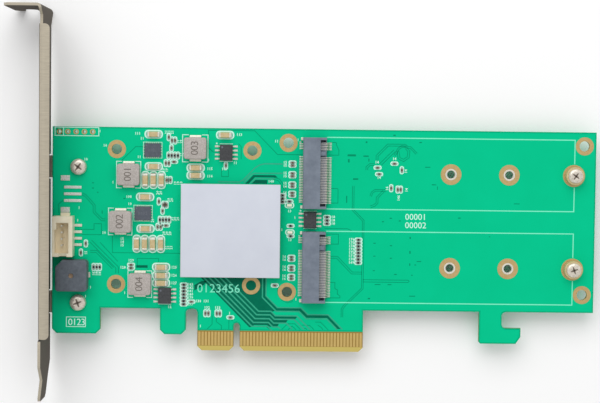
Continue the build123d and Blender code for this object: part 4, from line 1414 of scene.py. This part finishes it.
@dataclass
class Chips:
    """The switch chip with its pad, the regulators and the eight-lead chips."""

    def dress(self) -> None:
        """Break the edges of the mouldings and finish the leads."""
        soften_node("switch_chip", MOULD, 0.1)
        soften_node("thermal_pad", PAD, 0.14, 3)
        for number in (1, 2):
            soften_node(f"regulator_chip_{number}", REGULATOR, 0.08)
        for number in (1, 2, 3):
            soften_node(f"eight_lead_chip_{number}_body", MOULD, 0.16)
            soften_node(f"eight_lead_chip_{number}_leads", TIN, 0.03, 1)
        make_piece("chip_marks", CHIP_MARK, self.marks)
        make_piece("regulator_contacts", TIN, self.contacts)
        make_piece("lead_joints", SOLDER, self.lead_joints)

    @staticmethod
    def marks(bm: bmesh.types.BMesh) -> None:
        """Add the round first-lead marks and plain numbers on the flat chips."""
        for number in (1, 2, 3):
            low, high = node_box(f"eight_lead_chip_{number}_body")
            washer(bm, (low.x + 0.75, high.y - 0.8), 0.02, 0.32, high.z, high.z + 0.012, 20)
        for number in (1, 2):
            low, high = node_box(f"regulator_chip_{number}")
            washer(bm, (low.x + 0.6, high.y - 0.6), 0.02, 0.22, high.z, high.z + 0.012, 20)
            start = (low.x + 1.0, low.y + 1.7)
            NUMERALS.write(bm, f"010{number}", start, 0.9, 0.75, high.z, high.z + 0.012)

    @staticmethod
    def contacts(bm: bmesh.types.BMesh) -> None:
        """Add the short contacts round each flat regulator."""
        level = BOARD_TOP + 0.2
        for number in (1, 2):
            low, high = node_box(f"regulator_chip_{number}")
            for i in range(7):
                x = low.x + 0.7 + i * (high.x - low.x - 1.4) / 6
                block(bm, (x - 0.12, low.y - 0.28, BOARD_TOP), (x + 0.12, low.y + 0.05, level))
                block(bm, (x - 0.12, high.y - 0.05, BOARD_TOP), (x + 0.12, high.y + 0.28, level))
            for i in range(4):
                y = low.y + 0.9 + i * (high.y - low.y - 1.8) / 3
                block(bm, (low.x - 0.28, y - 0.12, BOARD_TOP), (low.x + 0.05, y + 0.12, level))
                block(bm, (high.x - 0.05, y - 0.12, BOARD_TOP), (high.x + 0.28, y + 0.12, level))

    @staticmethod
    def lead_joints(bm: bmesh.types.BMesh) -> None:
        """Add the solder under and beyond each lead's foot."""
        for number in (1, 2, 3):
            for low, high in solid_boxes(f"eight_lead_chip_{number}_leads"):
                middle = sum(corner.x for corner in node_box(f"eight_lead_chip_{number}_body")) / 2
                right = (low.x + high.x) / 2 > middle
                inner = high.x - 0.75 if right else low.x + 0.75
                outer = high.x + 0.3 if right else low.x - 0.3
                x0, x1 = sorted((inner, outer))
                broken_block(
                    bm, (x0, low.y - 0.1, BOARD_TOP), (x1, high.y + 0.1, BOARD_TOP + 0.09), 0.03, 1
                )


@dataclass
class PowerInductors:
    """The pressed inductors with their folded terminals."""

    count: int = 4
    edge: float = 0.3

    def dress(self) -> None:
        """Round the pressed bodies and finish the terminals."""
        for number in range(1, self.count + 1):
            soften_node(f"power_inductor_{number}_body", IRON, self.edge, 3)
            soften_node(f"power_inductor_{number}_terminals", TIN, 0.06)

        def shape(bm: bmesh.types.BMesh) -> None:
            for number in range(1, self.count + 1):
                low, high = node_box(f"power_inductor_{number}_body")
                start = ((low.x + high.x) / 2 + 0.95, (low.y + high.y) / 2 - 2.1)
                NUMERALS.write(bm, f"00{number}", start, 2.3, 1.45, high.z, high.z + 0.015, 90.0)

        make_piece("inductor_numbers", IRON_MARK, shape)


@dataclass
class Sounder:
    """The square sounder with its cut corner."""

    centre: Point = (-50.7, 23.2)

    def dress(self) -> None:
        """Round the case, line its bore and finish the terminals."""
        soften_node("sounder_case", SOUNDER, 0.25, 3, sharp=50.0)
        soften_node("sounder_terminals", TIN, 0.05)
        top = BOARD_TOP + 5.0

        def shape(bm: bmesh.types.BMesh) -> None:
            profile = [(0.0, top - 0.5), (0.66, top - 0.45), (0.7, top - 0.1), (0.72, top - 0.6),
                       (0.0, top - 0.65)]
            turned(bm, profile, self.centre, 28)

        make_piece("sounder_bore", BORE, shape, smooth=True)


@dataclass
class FanHeader:
    """The open header with its bent pins, and the bare lands beside it."""

    def dress(self) -> None:
        """Round the moulding and finish its pins and the lands."""
        soften_node("fan_header_housing", IVORY, 0.12, 2)
        soften_node("fan_header_pins", TIN, 0.05)
        soften_node("bare_solder_lands", SOLDER, 0.08)


@dataclass
class ModuleSocket:
    """One module socket with its contacts and ribs.

    Attributes:
        name: Which bay it serves.
        middle: Middle of the socket along Y.
    """

    name: str
    middle: float
    pitch: float = 0.5
    count: int = 38
    before_key: int = 29
    key: int = 4

    def dress(self) -> None:
        """Break the housing's edges and finish the metal."""
        soften_node(f"{self.name}_socket_housing", SOCKET, 0.1, 2)
        paint_node(f"{self.name}_socket_front_contacts", SOCKET_TIN)
        paint_node(f"{self.name}_socket_rear_contacts", TIN)
        soften_node(f"{self.name}_socket_solder_tabs", TIN, 0.06)
        make_piece(f"{self.name}_socket_ribs", SOCKET, self.ribs)
        make_piece(f"{self.name}_socket_joints", SOLDER, self.joints)

    def positions(self) -> list[float]:
        """Return the place of each front contact along Y."""
        first = self.middle - self.pitch * (self.count - 1) / 2
        return [
            first + self.pitch * i
            for i in range(self.count)
            if not self.before_key <= i < self.before_key + self.key
        ]

    def ribs(self, bm: bmesh.types.BMesh) -> None:
        """Add the thin walls between the contacts on the jaw."""
        for y in self.positions():
            block(bm, (25.35, y + 0.19, 2.98), (27.15, y + 0.31, 3.3))

    def joints(self, bm: bmesh.types.BMesh) -> None:
        """Add the solder pads beyond the contacts' feet."""
        for y in self.positions():
            block(bm, (27.9, y - 0.14, BOARD_TOP), (28.75, y + 0.14, BOARD_TOP + 0.08))
            block(bm, (18.85, y + 0.11, BOARD_TOP), (19.4, y + 0.39, BOARD_TOP + 0.08))


@dataclass
class Studio:
    """Pale floor, soft light from beyond the upper edge and the camera.

    Attributes:
        floor_level: Height of the floor, where the ear rests.
        eye: Place of the camera.
        angles: Its turn about X, Y and Z in degrees.
        lens: Focal length on a 36 mm wide sensor.
        key_power: Power of the window light.
        key_place: Place of the window light in metres.
        world_level: Strength of the light from all round.
        window_size: Width and height of the window light in metres.
        window_aim: Point that the window light faces, in metres.
        floor_half: Half the floor's width in metres.
        floor_tone: Lightness of the floor.
    """

    floor_level: float = -5.6
    eye: tuple[float, float, float] = (15.4497, 67.8996, 457.2811)
    angles: tuple[float, float, float] = (-2.68055, -0.43769, 0.67946)
    lens: float = 88.8
    key_power: float = 5.9
    key_place: tuple[float, float, float] = (-0.15, 0.75, 0.75)
    world_level: float = 0.72
    window_size: tuple[float, float] = (1.1, 0.8)
    window_aim: tuple[float, float, float] = (0.02, 0.04, 0.0)
    floor_half: float = 3.0
    floor_tone: float = 0.97

    def build(self) -> None:
        """Make the floor, the lights and the camera."""
        self.build_floor()
        self.build_light()
        self.build_camera()
        bpy.context.scene.view_settings.view_transform = "Standard"

    def build_floor(self) -> None:
        """Lay a wide pale floor under the card."""
        bm = bmesh.new()
        bmesh.ops.create_grid(bm, x_segments=1, y_segments=1, size=self.floor_half)
        bmesh.ops.translate(bm, vec=(0.0, 0.0, self.floor_level * MM), verts=bm.verts)
        mesh = bpy.data.meshes.new("studio_floor")
        bm.to_mesh(mesh)
        bm.free()
        floor = bpy.data.objects.new("studio_floor", mesh)
        bpy.context.scene.collection.objects.link(floor)
        material = bpy.data.materials.new("pale_floor")
        material.use_nodes = True
        shader = material.node_tree.nodes["Principled BSDF"]
        shader.inputs["Base Color"].default_value = (*[self.floor_tone] * 3, 1.0)
        shader.inputs["Roughness"].default_value = 0.9
        shader.inputs["Specular IOR Level"].default_value = 0.1
        mesh.materials.append(material)

    def build_light(self) -> None:
        """Light the card softly from above its upper edge."""
        world = bpy.data.worlds.new("soft_room")
        world.use_nodes = True
        back = world.node_tree.nodes["Background"]
        back.inputs["Color"].default_value = (1.0, 1.0, 1.0, 1.0)
        back.inputs["Strength"].default_value = self.world_level
        bpy.context.scene.world = world
        lamp = bpy.data.lights.new("window_light", "AREA")
        lamp.shape = "RECTANGLE"
        lamp.size, lamp.size_y = self.window_size
        lamp.energy = self.key_power
        obj = bpy.data.objects.new("window_light", lamp)
        place = Vector(self.key_place)
        obj.location = place
        aim = Vector(self.window_aim) - place
        obj.rotation_euler = aim.to_track_quat("-Z", "Y").to_euler()
        bpy.context.scene.collection.objects.link(obj)

    def build_camera(self) -> None:
        """Set the camera at the photograph's place."""
        camera = bpy.data.cameras.new("camera")
        camera.sensor_width = 36.0
        camera.lens = self.lens
        camera.clip_start = 0.01
        camera.clip_end = 20.0
        obj = bpy.data.objects.new("camera", camera)
        obj.location = [value * MM for value in self.eye]
        obj.rotation_euler = [math.radians(value) for value in self.angles]
        bpy.context.scene.collection.objects.link(obj)
        bpy.context.scene.camera = obj


def main() -> None:
    """Build the scene in order and report each sub-assembly."""
    logging.basicConfig(level=logging.INFO, format="%(name)s: %(message)s")
    steps = (
        Board(),
        Tracks(),
        Print(),
        EdgeConnector(),
        SlotBracket(),
        Fasteners(),
        Chips(),
        PowerInductors(),
        ChipParts(),
        Sounder(),
        FanHeader(),
        ModuleSocket("lower", 26.42),
        ModuleSocket("upper", 55.42),
    )
    for step in steps:
        step.dress()
        log.info("dressed %s", type(step).__name__)
    Studio().build()


if __name__ == "__main__":
    main()
